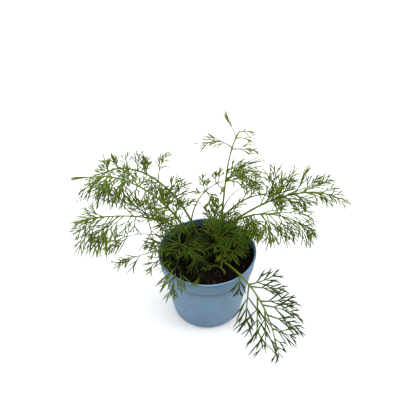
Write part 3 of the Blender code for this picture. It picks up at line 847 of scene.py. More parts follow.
draw = random.Random(f"{SEED} crumbs")
for _ in range(CRUMBS):
    size = CRUMB_SMALL + CRUMB_LARGE * draw.random() ** CRUMB_SIZES
    x, y = somewhere(bed_edge - size, draw)
    place = Vector((x, y, soil_height(x, y) + size * CRUMB_LIFT))
    soil.add(crumb(place, size, draw), ball_faces, tint=draw.random() ** CRUMB_TINTS)
print("points with the crumbs:", len(soil.points))

# %% [markdown]
# ## Fibres
# Fibres of coir and root lie on the soil like short pieces of thread. Each is a thin limb that
# wanders a little at every step and keeps just over the surface. They are browner than the crumbs,
# so that they show.

# %% Strew the fibres
FIBRES = 150
FIBRE_LENGTH = (3, 11)
FIBRE_WANDER = 0.4
FIBRE_LIFT = (0.1, 0.5)
FIBRE_THICK = (0.09, 0.24)
FIBRE_WIDTHS = (0.6, 1, 1, 0.8, 0)
FIBRE_SIDES = 5
FIBRE_TINTS = (0.5, 1.0)

steps = len(FIBRE_WIDTHS) - 1
for _ in range(FIBRES):
    length = draw.uniform(*FIBRE_LENGTH) * MM
    x, y = somewhere(bed_edge - length, draw)
    heading = draw.uniform(0, 2 * math.pi)
    line = []
    while len(line) < len(FIBRE_WIDTHS):
        heading += draw.uniform(-FIBRE_WANDER, FIBRE_WANDER)
        line.append(Vector((x, y, soil_height(x, y) + draw.uniform(*FIBRE_LIFT) * MM)))
        x += math.cos(heading) * length / steps
        y += math.sin(heading) * length / steps
    thick = draw.uniform(*FIBRE_THICK) * MM
    points, faces = limb(line, [thick * width for width in FIBRE_WIDTHS], FIBRE_SIDES)
    soil.add(points, faces, tint=draw.uniform(*FIBRE_TINTS))
print("points with the fibres:", len(soil.points))

# %% [markdown]
# ## A stuck crumb
# One crumb sticks to the outside of the pot, low on the left, as the photo shows. A small fault like
# this tells the eye that the pot has been handled. It is placed by a turn and a height, and the
# outline gives the wall's radius there, so that it sits on the wall from every side.

# %% Stick a crumb to the wall
STUCK_TURN = math.radians(-124)
STUCK_HEIGHT = 28.2 * MM
STUCK_SIZE = 0.9 * MM

stuck = Gather()
stuck_radius = radius_at(outer_corners[5:7], STUCK_HEIGHT)
place = Matrix.Rotation(STUCK_TURN, 4, "Z") @ Vector((stuck_radius, 0, STUCK_HEIGHT))
stuck.add(crumb(place, STUCK_SIZE, draw), ball_faces, tint=BED_TINT)
print("stuck crumb at, in mm:", [round(x / MM, 1) for x in place])

# %% [markdown]
# ## The soil's material
# Moist peat is almost black, with brown bark in it and a faint wet gleam on some grains. The tint
# mark tells bark from peat, patches move the colour and the gloss, and a deep relief breaks up
# each face. The crumb on the wall has the same material.

# %% Material: moist peat
PEAT_DARK = shade(4, 3, 2)
PEAT_LIGHT = shade(20, 16, 11)
BARK = shade(84, 56, 38)

peat, tree, shader = new_material("moist_peat")
place = object_place(tree)
ground = use_group(tree, patches, {"Place": place, "Scale": 500.0, "Dark": PEAT_DARK, "Light": PEAT_LIGHT})
wet = use_group(tree, patches, {"Place": place, "Scale": 170.0})
rough_earth = use_group(tree, relief, {"Place": place, "Scale": 1500.0, "Depth": 0.0006})
tint_mark = add_node(tree, "ShaderNodeAttribute", attribute_name="tint").outputs["Fac"]
bark_share = add_node(
    tree, "ShaderNodeMapRange", {"Value": tint_mark, "From Min": 0.35, "From Max": 1.0}
).outputs["Result"]
roughness = add_node(
    tree, "ShaderNodeMapRange", {"Value": wet.outputs["Mask"], "To Min": 0.62, "To Max": 0.95}
).outputs["Result"]
fill_inputs(tree, shader, {
    "Base Color": mix_colours(tree, bark_share, ground.outputs["Color"], BARK),
    "Roughness": roughness,
    "Normal": rough_earth.outputs["Normal"],
    "Specular IOR Level": 0.06,
})
potting_soil = soil.piece("potting_soil", [peat])
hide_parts("soil")
stuck_crumb = stuck.piece("stuck_crumb", [peat])
print("material:", peat.name)

# %% [markdown]
# ## The dill's plan
# Each seedling is a stem that leaves its foot at some rise and bends to some droop, with leaves at
# shares of its length. The plan is the one that the solids were made from, in millimetres and
# degrees, so every fine limb grows where its solid stands. Heading 0 is +X and 90 is +Y.
#
# A leaf leaves its stem at a share of the stem's length. It is bare for the stalk's share of its
# own length and then carries its pairs of leaflets. It bends and turns as a stem does.

# %% What a stem and a leaf are
Stem = namedtuple("Stem", "name foot heading turn rise droop bend length radius leaves")
Leaf = namedtuple(
    "Leaf", "at heading rise droop length pairs stalk turn", defaults=(3, 0.25, 0)
)
print("a stem has", ", ".join(Stem._fields))
print("a leaf has", ", ".join(Leaf._fields))

# %% [markdown]
# ## The thirteen seedlings
# The names say where each seedling stands or where it leans. Every one was placed against the
# photo: where it starts, how it rises, bends and droops, and which leaves it has.

# %% The stems and their leaves
STEMS = [
    Stem("dill_left_arch", (-7, 20), 163, 0, 69, -48, 2.1, 153, 1.3, [
        Leaf(0.43, 30, 35, 15, 20, 3),
        Leaf(0.49, 215, 20, -20, 18, 2),
        Leaf(0.57, 20, 88, 40, 38, 3, 0.35),
        Leaf(0.62, 270, -18, -60, 22, 3),
        Leaf(0.67, 40, 70, 60, 15, 2),
        Leaf(0.73, 70, 68, 60, 19, 3),
        Leaf(0.76, 250, 5, -40, 24, 3),
        Leaf(0.80, 110, 65, 50, 14, 2),
        Leaf(0.87, 150, 60, 40, 13, 2),
        Leaf(0.91, 235, -10, -50, 26, 3),
        Leaf(0.96, 120, 40, -10, 17, 2),
        Leaf(1.00, 195, 0, -50, 24, 3),
    ]),
    Stem("dill_left_middle", (-13, 14), 175, 0, 66, 2, 1.8, 136, 1.3, [
        Leaf(0.36, 240, 20, -10, 22, 3),
        Leaf(0.40, 215, 20, -20, 26, 3),
        Leaf(0.43, 100, 40, 20, 18, 2),
        Leaf(0.48, 52, 40, 20, 20, 3),
        Leaf(0.66, 265, -10, -60, 18, 2),
        Leaf(0.72, 40, 20, -20, 20, 2),
        Leaf(0.79, 120, 40, 0, 20, 3),
        Leaf(0.82, 250, 0, -40, 24, 3),
        Leaf(0.86, 282, -30, -80, 32, 2),
        Leaf(0.90, 250, -15, -70, 30, 2),
        Leaf(0.93, 140, 25, -10, 20, 3),
        Leaf(0.95, 230, 0, -40, 26, 3),
        Leaf(0.98, 200, -20, -70, 30, 3),
        Leaf(1.00, 205, -15, -45, 36, 2, 0.3),
        Leaf(1.00, 182, -2, -8, 38, 2, 0.3),
    ]),
    Stem("dill_left_low", (-20, 23), 201, 0, 80, 8, 0.5, 123, 1.1, [
        Leaf(0.46, 320, -20, -60, 20, 1, 0.5),
        Leaf(0.52, 170, 60, 20, 28, 3),
        Leaf(0.53, 290, -30, -80, 42, 3, 0.3),
        Leaf(0.66, 150, 40, 12, 48, 3, 0.4),
        Leaf(0.68, 250, 0, -40, 24, 2),
        Leaf(0.80, 230, -20, -50, 40, 3),
        Leaf(0.87, 235, -25, -55, 42, 2, 0.3),
        Leaf(0.91, 215, -20, -50, 44, 3, 0.3),
        Leaf(0.92, 160, 10, -10, 24, 2),
        Leaf(0.96, 218, -5, -35, 30, 3),
        Leaf(1.00, 190, -5, -25, 24, 3),
    ]),
    Stem("dill_left_bush", (-25, 2), 200, 0, 80, 60, 1.0, 14, 1.2, [
        Leaf(0.95, 172, 35, -58, 92, 3, 0.6, 25),
        Leaf(0.80, 203, 8, -15, 74, 3, 0.6, -4),
        Leaf(0.70, 222, 15, -40, 50, 3, 0.5),
        Leaf(0.90, 182, 25, -40, 42, 3, 0.5),
        Leaf(0.60, 265, 34, -80, 72, 3, 0.5, -8),
        Leaf(0.65, 293, 42, -78, 66, 3, 0.5),
        Leaf(0.50, 50, 50, -10, 36, 3),
        Leaf(0.65, 330, 45, -10, 36, 2),
        Leaf(0.70, 245, 20, -10, 36, 3),
        Leaf(1.00, 82, 80, 30, 38, 2),
        Leaf(1.00, 305, 35, -20, 40, 3),
        Leaf(0.85, 10, 30, -15, 34, 2),
        Leaf(0.90, 145, 48, -10, 33, 2),
        Leaf(1.00, 225, 40, -20, 36, 3),
    ]),
    Stem("dill_tall", (13, 23), 10, 0, 86, 62, 5.5, 143, 1.3, [
        Leaf(0.24, 20, 82, -20, 60, 3, 0.65),
        Leaf(0.63, 320, 45, -60, 40, 4, 0.15),
        Leaf(0.64, 15, 45, -5, 23, 3),
        Leaf(0.85, 190, 50, -45, 36, 3),
        Leaf(0.84, 355, 5, -12, 27, 3),
        Leaf(0.93, 340, 25, -50, 22, 1, 0.3),
        Leaf(0.94, 150, 66, 50, 30, 1, 0.45),
        Leaf(1.00, 350, 10, 0, 13, 2),
    ]),
    Stem("dill_right_upper", (12, 31), 14, 0, 90, -24, 1.0, 94, 1.2, [
        Leaf(0.30, 5, 25, 15, 18, 1, 0.4),
        Leaf(0.55, 20, 62, 40, 33, 3),
        Leaf(0.63, 10, 50, 35, 20, 2),
        Leaf(0.79, 350, -5, -15, 24, 2),
        Leaf(0.91, 60, 65, 60, 30, 3),
        Leaf(0.94, 120, 55, 45, 20, 2),
        Leaf(0.95, 310, 0, -40, 16, 2),
        Leaf(0.97, 18, 52, 36, 35, 3),
        Leaf(1.00, 10, 50, 40, 26, 3),
    ]),
    Stem("dill_right_long", (6, 27), 6, 0, 43, -36, 2.0, 156, 1.3, [
        Leaf(0.45, 30, 50, 30, 24, 3),
        Leaf(0.58, 330, 0, -50, 20, 3),
        Leaf(0.63, 325, 0, -50, 18, 2),
        Leaf(0.65, 328, 3, -8, 30, 3),
        Leaf(0.67, 45, 53, 53, 37, 3, 0.35),
        Leaf(0.72, 32, 35, 25, 26, 3),
        Leaf(0.72, 15, 30, 10, 35, 4, 0.3),
        Leaf(0.84, 320, -10, -40, 20, 2),
        Leaf(0.85, 25, 10, -5, 20, 2),
        Leaf(0.94, 330, -10, -40, 16, 2),
        Leaf(1.00, 0, -15, -25, 14, 2),
    ]),
    Stem("dill_right_lower", (18, 24), -8, 0, 90, -32, 0.8, 103, 1.2, [
        Leaf(0.42, 300, -20, -60, 24, 2),
        Leaf(0.50, 300, -20, -60, 26, 2),
        Leaf(0.58, 300, -10, -60, 34, 3),
        Leaf(0.64, 0, 12, -35, 54, 3, 0.4),
        Leaf(0.66, 310, -10, -60, 36, 3),
        Leaf(0.72, 60, 30, 0, 22, 2),
        Leaf(0.80, 305, -10, -55, 28, 3),
        Leaf(0.92, 315, -20, -60, 28, 3),
        Leaf(1.00, 340, -20, -50, 24, 3),
    ]),
    Stem("dill_right_bush", (9, 4), 20, 0, 85, 70, 1.0, 16, 1.2, [
        Leaf(0.50, 355, 55, 0, 44, 3),
        Leaf(0.45, 30, 63, 20, 38, 3),
        Leaf(0.55, 100, 75, 50, 34, 3),
        Leaf(0.60, 145, 80, 50, 28, 2),
        Leaf(0.70, 60, 72, 50, 37, 3),
        Leaf(0.80, 330, 50, -15, 40, 3),
        Leaf(0.90, 285, 45, -25, 30, 3),
        Leaf(0.85, 345, 35, -20, 42, 2),
        Leaf(0.95, 10, 60, 10, 44, 3),
        Leaf(1.00, 80, 85, 60, 37, 3),
    ]),
    Stem("dill_front", (10, -4), -57, -7, 16, -88, 2.2, 138, 1.1, [
        Leaf(0.33, 262, 0, -75, 24, 2),
        Leaf(0.45, 262, -20, -80, 46, 3, 0.25),
        Leaf(0.45, 20, -5, 30, 35, 3, 0.2),
        Leaf(0.47, 350, 0, 12, 35, 3, 0.3),
        Leaf(0.57, 268, -40, -80, 46, 3, 0.2),
        Leaf(0.61, 5, -5, 0, 36, 3, 0.2),
        Leaf(0.64, 350, -5, -20, 38, 3),
        Leaf(0.68, 275, -60, -82, 52, 3, 0.1),
        Leaf(0.72, 345, -10, -30, 38, 3),
        Leaf(0.82, 350, -22, -18, 28, 2),
        Leaf(0.90, 340, -35, -30, 16, 1),
        Leaf(0.92, 300, -50, -75, 20, 2),
        Leaf(1.00, 300, -70, -85, 16, 1),
    ]),
    Stem("dill_back", (-18, 40), 40, -45, 90, 0, 1.3, 90, 0.9, [
        Leaf(0.58, 185, 0, -5, 12, 1),
        Leaf(0.58, 110, 50, 60, 18, 2, 0.3),
        Leaf(0.59, 320, -5, -25, 20, 2),
        Leaf(0.60, 300, -20, -50, 26, 2),
        Leaf(0.61, 80, 55, 55, 13, 1),
        Leaf(0.75, 100, 55, 60, 15, 1),
        Leaf(0.77, 60, 60, 60, 18, 1),
        Leaf(0.76, 320, -20, -60, 14, 1),
        Leaf(1.00, 15, 15, 15, 12, 1),
    ]),
    Stem("dill_middle", (9, 40), 120, 0, 85, 60, 1.0, 14, 0.9, [
        Leaf(0.80, 60, 60, 20, 20, 2),
        Leaf(1.00, 150, 45, 30, 17, 2),
    ]),
    Stem("dill_sprout", (18, -27), 150, 0, 50, 0, 1.0, 11, 0.8, [
        Leaf(0.50, 76, 26, 0, 16, 2),
        Leaf(1.00, 195, 0, -10, 16, 2),
    ]),
]
print("stems:", len(STEMS), "leaves:", sum(len(stem.leaves) for stem in STEMS))

# %% [markdown]
# ## Lines of growth
# A shoot is a line whose direction changes step by step, from its rise to its droop. One function
# gives the line of a stem and of a leaf's stalk, and another finds the place and the direction at
# any share of a line, so that a leaf can start on a stem and a thread on a leaf.

# %% Functions for the lines
def pointing(heading, rise):
    """The direction of a heading and a rise in degrees."""
    around, up = math.radians(heading), math.radians(rise)
    return Vector((math.cos(up) * math.cos(around), math.cos(up) * math.sin(around), math.sin(up)))


def bent_line(start, shoot, bend, steps):
    """Points along a stem or a leaf that leaves start at its rise and bends to its droop."""
    points = [start.copy()]
    for i in range(steps):
        t = (i + 0.5) / steps
        aim = pointing(shoot.heading + shoot.turn * t, shoot.rise + (shoot.droop - shoot.rise) * t**bend)
        points.append(points[-1] + aim * (shoot.length * MM / steps))
    return points


def along(line, share):
    """The point and the direction at a share of a line's length."""
    place = min(max(share, 0.0), 1.0) * (len(line) - 1)
    i = min(int(place), len(line) - 2)
    step = line[i + 1] - line[i]
    return line[i] + step * (place - i), step.normalized()


tall = max(STEMS, key=lambda stem: stem.length)
print("longest stem:", tall.name, tall.length, "mm")

# %% [markdown]
# ## Where the leaflets stand
# Leaflets come in pairs up the blade, spread wide near its root and close at its tip, and they get
# shorter. The draw is seeded with the stem's name and the leaf's number, as it was for the solids.
# The same numbers in the same order give the same leaflets, so the fine ones cover the solid ones.

# %% The leaflets of a leaf
FIRST_PAIR = 0.2
LAST_PAIR = 0.9
STAGGER = 0.8 * MM
SPREAD_ROOT = 40
SPREAD_TIP = 24
SPREAD_DRAW = 8
ROLL_DRAW = 28
REACH_ROOT = 0.62
REACH_TIP = 0.28
REACH_DRAW = (0.8, 1.1)
REACH_LEAST = 6 * MM
UP = Vector((0, 0, 1))


def leaflets(leaf, line, draw):
    """Each leaflet of a leaf as (start, direction, length), in pairs up the blade."""
    blade = (1 - leaf.stalk) * leaf.length * MM
    for pair in range(leaf.pairs):
        share = (pair + FIRST_PAIR) / leaf.pairs
        for sign in (-1, 1):
            start, ahead = along(line, leaf.stalk + (1 - leaf.stalk) * LAST_PAIR * share)
            start = start + ahead * sign * STAGGER
            side = ahead.cross(UP).normalized()
            roll = Quaternion(ahead, math.radians(draw.uniform(-ROLL_DRAW, ROLL_DRAW)))
            spread = SPREAD_ROOT + (SPREAD_TIP - SPREAD_ROOT) * share
            spread = math.radians(spread + draw.uniform(-SPREAD_DRAW, SPREAD_DRAW))
            aim = ahead * math.cos(spread) + (roll @ side) * sign * math.sin(spread)
            reach = REACH_ROOT + (REACH_TIP - REACH_ROOT) * share
            reach = blade * reach * draw.uniform(*REACH_DRAW)
            yield start, aim.normalized(), max(reach, REACH_LEAST)


print("pairs of leaflets in all:", sum(leaf.pairs for stem in STEMS for leaf in stem.leaves))

# %% [markdown]
# ## Habits
# A dill leaf is divided again and again until only threads a millimetre wide are left. Each leaflet
# is a fine axis with pairs of threads that point forward, and some of these fork once more. Grown
# leaves, the dense young clumps, the long hanging leaf and the leaves that are still folded look
# quite unlike each other, but they differ only in a few numbers: how wide a thread is, how close,
# how far out and how long. So they are one table of habits, and the same functions grow them all.

# %% The habits of the leaves
# thread: half the width of a thread, in mm. gap: from one pair to the next, in mm. spread: how far
# the threads stand out from their axis, in degrees. share: a thread's length over its leaflet's.
# sag: how far it nods. fork: the chance that it forks. age: how yellow its tip is. light: how light
# it may get. deep: how far its tint is pushed into the painted shade. shaded: how much of the
# painted shade near the soil it takes.
Habit = namedtuple(
    "Habit", "thread gap spread share sag fork age light deep shaded", defaults=(1.0, 0.0, 1.0)
)
HABITS = {
    "grown": Habit(0.57, 8.6, 13, 1.60, 0.18, 0.04, 0.05),
    "clump": Habit(0.48, 6.6, 28, 1.05, 0.30, 0.12, 0.06, 1.0),
    "close": Habit(0.54, 4.6, 18, 1.00, 0.25, 0.06, 0.05),
    "broad": Habit(0.66, 6.0, 22, 1.00, 0.25, 0.06, 0.10, 0.6),
    "hanging": Habit(0.84, 19.0, 9, 1.25, 0.10, 0.00, 0.02, 0.4, 0.55),
    "trailing": Habit(0.70, 18.0, 7, 1.60, 0.02, 0.00, 0.02, 0.4, 0.55),
    "first": Habit(0.85, 5.0, 32, 1.10, 0.10, 0.20, 0.10),
    "open": Habit(0.66, 6.0, 26, 1.20, 0.10, 0.10, 0.60, 1.0, 0.0, 0.25),
    "folded": Habit(0.50, 0, 8, 1.00, 0.04, 0, 0.50),
}
print("habits:", ", ".join(HABITS))

# %% [markdown]
# ## Room for the threads
# A real thread bends aside where it meets the pot, the soil or the table. Testing each one against
# the meshes would be slow. But the pot is round, so the radius and the height of a point are enough
# to tell on which side of the wall it lies, and a line that goes from one side to the other cuts
# through it. The solids give the plant's size, so no thread may pass their box by more than 3 mm.

# %% Tests for where a thread may go
CLEARANCE = 0.4 * MM
BOX_MARGIN = 3.0 * MM


def side_of_pot(point):
    """Where a point lies: over the rim, outside the pot or inside it, or nowhere that is free."""
    x, y, z = point
    if z > POT_HEIGHT + CLEARANCE:
        return "over"
    out = math.hypot(x, y)
    if z > CLEARANCE and out > radius_at(outer_corners[1:7], min(z, under_lip)) + CLEARANCE:
        return "outside"
    if z > SOIL_LEVEL + CLEARANCE and out < radius_at(inner_corners, z) - CLEARANCE:
        return "inside"
    return None


def free_of_pot(line):
    """Whether a line keeps clear of the pot, the soil and the floor, and crosses no wall."""
    sides = [side_of_pot(point) for point in line]
    crossings = [{a, b} == {"inside", "outside"} for a, b in zip(sides, sides[1:])]
    return None not in sides[1:] and not any(crossings)


def in_reach(point):
    """Whether a point lies within the frame's box, give or take the margin."""
    return all(a - BOX_MARGIN < x < b + BOX_MARGIN for a, x, b in zip(cad_low, point, cad_high))


middle_of_soil = Vector((0, 0, SOIL_LEVEL + 2 * CLEARANCE))
print("just over the soil is", side_of_pot(middle_of_soil), "the pot")

# %% [markdown]
# ## Shade among the plants
# Near the soil the clumps are almost black, because the leaves above take their light. The wide
# lights of a studio fill such hollows more than a window does, so the depth is put into the plants:
# the nearer a limb is to the soil, the further its tint goes below 0, and the material mixes it
# with the colour of deep shade. It depends on the place in the pot and so looks right from any side.

# %% A measure of the shade
SHADE_HEIGHT = 32 * MM
SHADE_STRENGTH = 2.8


def shade_at(point, habit):
    """What a place over the soil takes off a tint: nothing in the open, and most at the soil."""
    x, y, z = point
    if z < SOIL_LEVEL or math.hypot(x, y) > MOUTH:
        return 0
    return SHADE_STRENGTH * habit.shaded * max(0, 1 - (z - SOIL_LEVEL) / SHADE_HEIGHT)


print("shade at the soil:", round(shade_at(middle_of_soil, HABITS["clump"]), 2))

# %% [markdown]
# ## One thread
# A thread sets out along its aim and nods more and more under its own weight. It is a tube of four
# sides, squeezed flat, widest at its middle and pointed. Hair curves would be quicker to make, but
# they are no mesh and could not be exported as one. A thread that would touch something is tried
# again with its aim lifted, twice, and then left out. Every limb is given the number of its finish:
# 0 for a thread and 1 for a stem or a stalk.

# %% Grow a thread
THREAD_STEPS = 4
THREAD_SIDES = 4
THREAD_FLAT = 0.6
THREAD_WIDTHS = (0.55, 0.9, 1.0, 0.75, 0)
NOD_BEND = 1.5
LIFTS = (0, 0.35, 0.8)
LEAF, STEM = 0, 1


def nodding_line(start, aim, length, sag, steps):
    """A line that sets out along its aim and sags more and more."""
    points = [start]
    for i in range(steps):
        bent = (aim - UP * (sag * ((i + 0.5) / steps) ** NOD_BEND)).normalized()
        points.append(points[-1] + bent * (length / steps))
    return points


def add_thread(plant, start, aim, length, habit, tint, age):
    """One thread, lifted a little where it would touch the pot or the soil, or left out."""
    for lift in LIFTS:
        line = nodding_line(start, (aim + UP * lift).normalized(), length, habit.sag, THREAD_STEPS)
        if free_of_pot(line) and in_reach(line[-1]):
            widths = [habit.thread * MM * share for share in THREAD_WIDTHS]
            points, faces = limb(line, widths, THREAD_SIDES, THREAD_FLAT)
            ages = [age * i / len(points) for i in range(len(points))]
            middle = line[THREAD_STEPS // 2]
            plant.add(points, faces, LEAF, tint - shade_at(middle, habit), ages)
            return line
    return None


print("a thread has", THREAD_SIDES * THREAD_STEPS + 1, "faces")

# %% [markdown]
# ## Fringes and leaflets
# Pairs of threads along a line make a fringe, and a leaflet is an axis with its fringe. The threads
# get shorter towards the tip, and each one is turned, spread and tinted a little differently by a
# seeded draw. The small differences matter: with none, a leaf looks like a comb.

# %% Grow a fringe and a leaflet
THREAD_LEAST = 4.5 * MM
PAIR_OFFSET = 0.2
PAIR_DRAW = 0.15
FRINGE_ROLL = 50
FRINGE_SPREAD = (0.65, 1.35)
FRINGE_TAPER = 0.4
FRINGE_LENGTH = (0.7, 1.2)
FRINGE_TINT = 0.35
FORK_TAPER = 0.5
FORK_AT = (0.3, 0.55)
FORK_TURN = (14, 28)
FORK_LENGTH = 0.65
FRINGED_SHARE = 0.75
FRINGE_FROM = 0.08
FRINGE_TO = 0.85


def fringe(plant, line, first, last, pairs, length, habit, draw, tint, age):
    """Pairs of threads along a line, from one share of it to another, which get shorter."""
    for pair in range(pairs):
        for sign in (-1, 1):
            share = (pair + 0.5 + PAIR_OFFSET * sign + draw.uniform(-PAIR_DRAW, PAIR_DRAW)) / pairs
            start, ahead = along(line, first + (last - first) * share)
            side = ahead.cross(UP)
            side = (side if side.length > SIDE_LEAST else ahead.orthogonal()).normalized()
            roll = Quaternion(ahead, math.radians(draw.uniform(-FRINGE_ROLL, FRINGE_ROLL)))
            spread = math.radians(habit.spread * draw.uniform(*FRINGE_SPREAD))
            aim = ahead * math.cos(spread) + (roll @ side) * sign * math.sin(spread)
            reach = length * (1 - FRINGE_TAPER * share) * draw.uniform(*FRINGE_LENGTH)
            reach = max(reach, THREAD_LEAST)
            # a drawn tint below 0 takes some of the painted shade
            own = min(tint + draw.uniform(-FRINGE_TINT, FRINGE_TINT) * habit.light, 1)
            thread = add_thread(plant, start, aim, reach, habit, own, age)
            if thread and draw.random() < habit.fork * (1 - FORK_TAPER * share):
                root, ahead = along(thread, draw.uniform(*FORK_AT))
                turn = math.radians(draw.choice((-1, 1)) * draw.uniform(*FORK_TURN))
                aim = Quaternion(roll @ UP, turn) @ ahead
                add_thread(plant, root, aim, reach * FORK_LENGTH, habit, own, age)


def grow_leaflet(plant, start, aim, length, habit, draw, tint, age):
    """A leaflet: its own axis, and the fringe of threads on it."""
    axis = add_thread(plant, start, aim, length, habit, tint, age)
    if axis:
        pairs = max(1, round(FRINGED_SHARE * length / (habit.gap * MM)))
        length *= habit.share
        fringe(plant, axis, FRINGE_FROM, FRINGE_TO, pairs, length, habit, draw, tint, age)


print("thread functions ready")

# %% [markdown]
# ## Stems
# A stem is round, finely ridged and thicker at each node, where a leaf's stalk clasps it. It goes on
# into the soil, pale and yellow at its foot, where no light reaches. The ridges are made in the mesh,
# by raising every other side of the tube, because they show along the edge of a stem as bump never
# does.

# %% Grow a stem
FOOT_RISE = 3.0 * MM
FOOT_DEPTH = 8.0 * MM
LAST_LEAF = 0.985
STEM_STEPS = 40
STEM_SIDES = 14
STEM_RIDGE = 0.05
STEM_FULL = 1.12
STEM_TIP = 0.42
STEM_TAPER = 1.4
STEM_TINT = 0.5
BURIED_POINTS = 2
FOOT_AGE = 0.5
FOOT_AGE_FADE = 2
NODE_SWELL = 0.25
NODE_LENGTH = 0.018


def grow_stem(plant, stem, line):
    """The stem, from under the soil to its tip, with a swelling at each leaf."""
    foot = line[0]
    path = [foot - UP * (FOOT_RISE + FOOT_DEPTH), foot - UP * FOOT_RISE, *line]
    widths = []
    for i in range(len(path) - 1):
        share = max(0, i - BURIED_POINTS) / STEM_STEPS
        swell = sum(
            math.exp(-(((share - min(leaf.at, LAST_LEAF)) / NODE_LENGTH) ** 2))
            for leaf in stem.leaves
        )
        thick = STEM_FULL * (STEM_TIP + (1 - STEM_TIP) * (1 - share) ** STEM_TAPER)
        widths.append(stem.radius * MM * thick * (1 + NODE_SWELL * min(swell, 1)))
    points, faces = limb(path, [*widths, 0], STEM_SIDES, ridge=STEM_RIDGE)
    ages = [max(0, FOOT_AGE - i / len(points) * FOOT_AGE_FADE) for i in range(len(points))]
    plant.add(points, faces, STEM, STEM_TINT, ages)


print("a stem has", (STEM_STEPS + BURIED_POINTS) * STEM_SIDES + 1, "faces")

# %% [markdown]
# ## Leaves
# A leaf has a stalk, its leaflets, and a fringe on the stalk itself. The leaflets come from the same
# seeded draw as in the solids, so each fine one grows along its solid. The fine threads have a draw
# of their own: more or fewer of them never move a leaflet.

# %% Grow a leaf
STALK_STEPS = 12
STALK_BEND = 1.3
STALK_SIDES = 8
STALK_WIDTHS = (1.1, 0.42)
STALK_LEAST = 0.22
STALK_SHARE = 0.7
STALK_TAPER = 2
STALK_FLAT = 0.85
STALK_AGE = 0.5
LEAF_TINTS = (0.15, 0.85)
BLADE_PAIRS = 0.55
BLADE_FROM = 0.1
BLADE_TO = 0.95
BLADE_THREAD = 0.4
BLADE_THREAD_MOST = 9 * MM


def grow_leaf(plant, stem, number, leaf, stem_line, habit, age):
    """A leaf: its stalk, its leaflets, and the threads along its blade."""
    start, _ = along(stem_line, min(leaf.at, LAST_LEAF))
    line = bent_line(start, leaf, STALK_BEND, STALK_STEPS)
    root, tip = STALK_WIDTHS
    thick = stem.radius * (STALK_LEAST + STALK_SHARE * habit.thread) * MM
    widths = []
    for i in range(STALK_STEPS):
        widths.append(thick * (tip + (root - tip) * (1 - i / STALK_STEPS) ** STALK_TAPER))
    points, faces = limb(line, [*widths, 0], STALK_SIDES, flat=STALK_FLAT)
    fine = random.Random(f"{SEED} threads {stem.name} {number}")
    # deep pushes the tint below 0, into the painted shade
    tint = fine.uniform(*LEAF_TINTS) * habit.light - habit.deep
    stalk_tint = tint * habit.light - shade_at(line[STALK_STEPS // 2], habit)
    plant.add(points, faces, STEM, stalk_tint, age * STALK_AGE)
    draw = random.Random(f"{SEED} {stem.name} {number}")
    for start, aim, length in leaflets(leaf, line, draw):
        grow_leaflet(plant, start, aim, length, habit, fine, tint, age)
    blade = (1 - leaf.stalk) * leaf.length * MM
    pairs = round(BLADE_PAIRS * blade / (habit.gap * MM))
    first = leaf.stalk + BLADE_FROM
    longest = min(blade * BLADE_THREAD, BLADE_THREAD_MOST)
    fringe(plant, line, first, BLADE_TO, pairs, longest, habit, fine, tint, age)


print("leaf function ready")

# %% [markdown]
# ## Folded leaves
# Three young leaves have not opened yet. Their threads lie side by side along the stalk, like a
# closed umbrella, which gives the plant its few plain pointed tips. They are yellower than the
# rest, because they are new.

# %% Grow a folded leaf
FOLDED_STALK = 0.5 * MM
FOLDED_TAPER = 0.4
FOLDED_TINT = 0.4
FOLDED_THREADS = 10
FOLDED_FROM = 0.3
FOLDED_OVER = 0.45
FOLDED_SPREADS = (0.4, 1.8)
FOLDED_LENGTHS = (0.7, 1.1)
FOLDED_TINTS = (0.2, 0.7)


def grow_folded_leaf(plant, stem, number, leaf, stem_line, habit):
    """A leaf that has not opened: its threads lie side by side along its stalk."""
    start, _ = along(stem_line, min(leaf.at, LAST_LEAF))
    line = bent_line(start, leaf, STALK_BEND, STALK_STEPS)
    widths = [FOLDED_STALK * (1 - FOLDED_TAPER * i / STALK_STEPS) for i in range(STALK_STEPS)]
    points, faces = limb(line, [*widths, 0], STALK_SIDES)
    plant.add(points, faces, STEM, FOLDED_TINT, habit.age)
    fine = random.Random(f"{SEED} folded {stem.name} {number}")
    for i in range(FOLDED_THREADS):
        share = FOLDED_FROM + FOLDED_OVER * i / FOLDED_THREADS
        start, ahead = along(line, share)
        side = Quaternion(ahead, fine.uniform(0, 2 * math.pi)) @ ahead.orthogonal().normalized()
        lean = math.radians(habit.spread * fine.uniform(*FOLDED_SPREADS))
        aim = (ahead + side * math.tan(lean)).normalized()
        length = leaf.length * MM * (1 - share) * fine.uniform(*FOLDED_LENGTHS) * habit.share
        tint = fine.uniform(*FOLDED_TINTS)
        add_thread(plant, start, aim, length, habit, tint, habit.age)


print("threads in a folded leaf:", FOLDED_THREADS)

# %% [markdown]
# ## Which leaf has which habit
# Most leaves of a plant share one habit, and a few have their own, as seen in the photo: the long
# leaves that hang over the left rim are broad, and the end of the front leaf trails. Numbers count
# the leaves of a stem in the order of the plan, from 0. A leaf that is listed here also has no young
# leaves beside it, so two are listed with the habit that they would have anyway.

# %% The habits of the plants and of single leaves
PLANT_HABITS = {
    "dill_left_bush": "clump",
    "dill_right_bush": "clump",
    "dill_front": "hanging",
    "dill_back": "first",
    "dill_middle": "first",
    "dill_sprout": "open",
}
PLANT_AGES = {"dill_sprout": 0.8, "dill_middle": 0.5}
LEAF_HABITS = {
    "dill_left_arch": {2: "close"},
    "dill_left_middle": {14: "folded"},
    "dill_left_low": {0: "grown", 2: "grown", 3: "broad"},
    "dill_left_bush": dict.fromkeys(range(6), "broad"),
    "dill_tall": {3: "close", 4: "close", 6: "folded", 7: "close"},
    "dill_right_long": {4: "folded"},
    "dill_right_bush": {2: "grown", 3: "grown"},
    "dill_front": dict.fromkeys(range(9, 13), "trailing"),
}


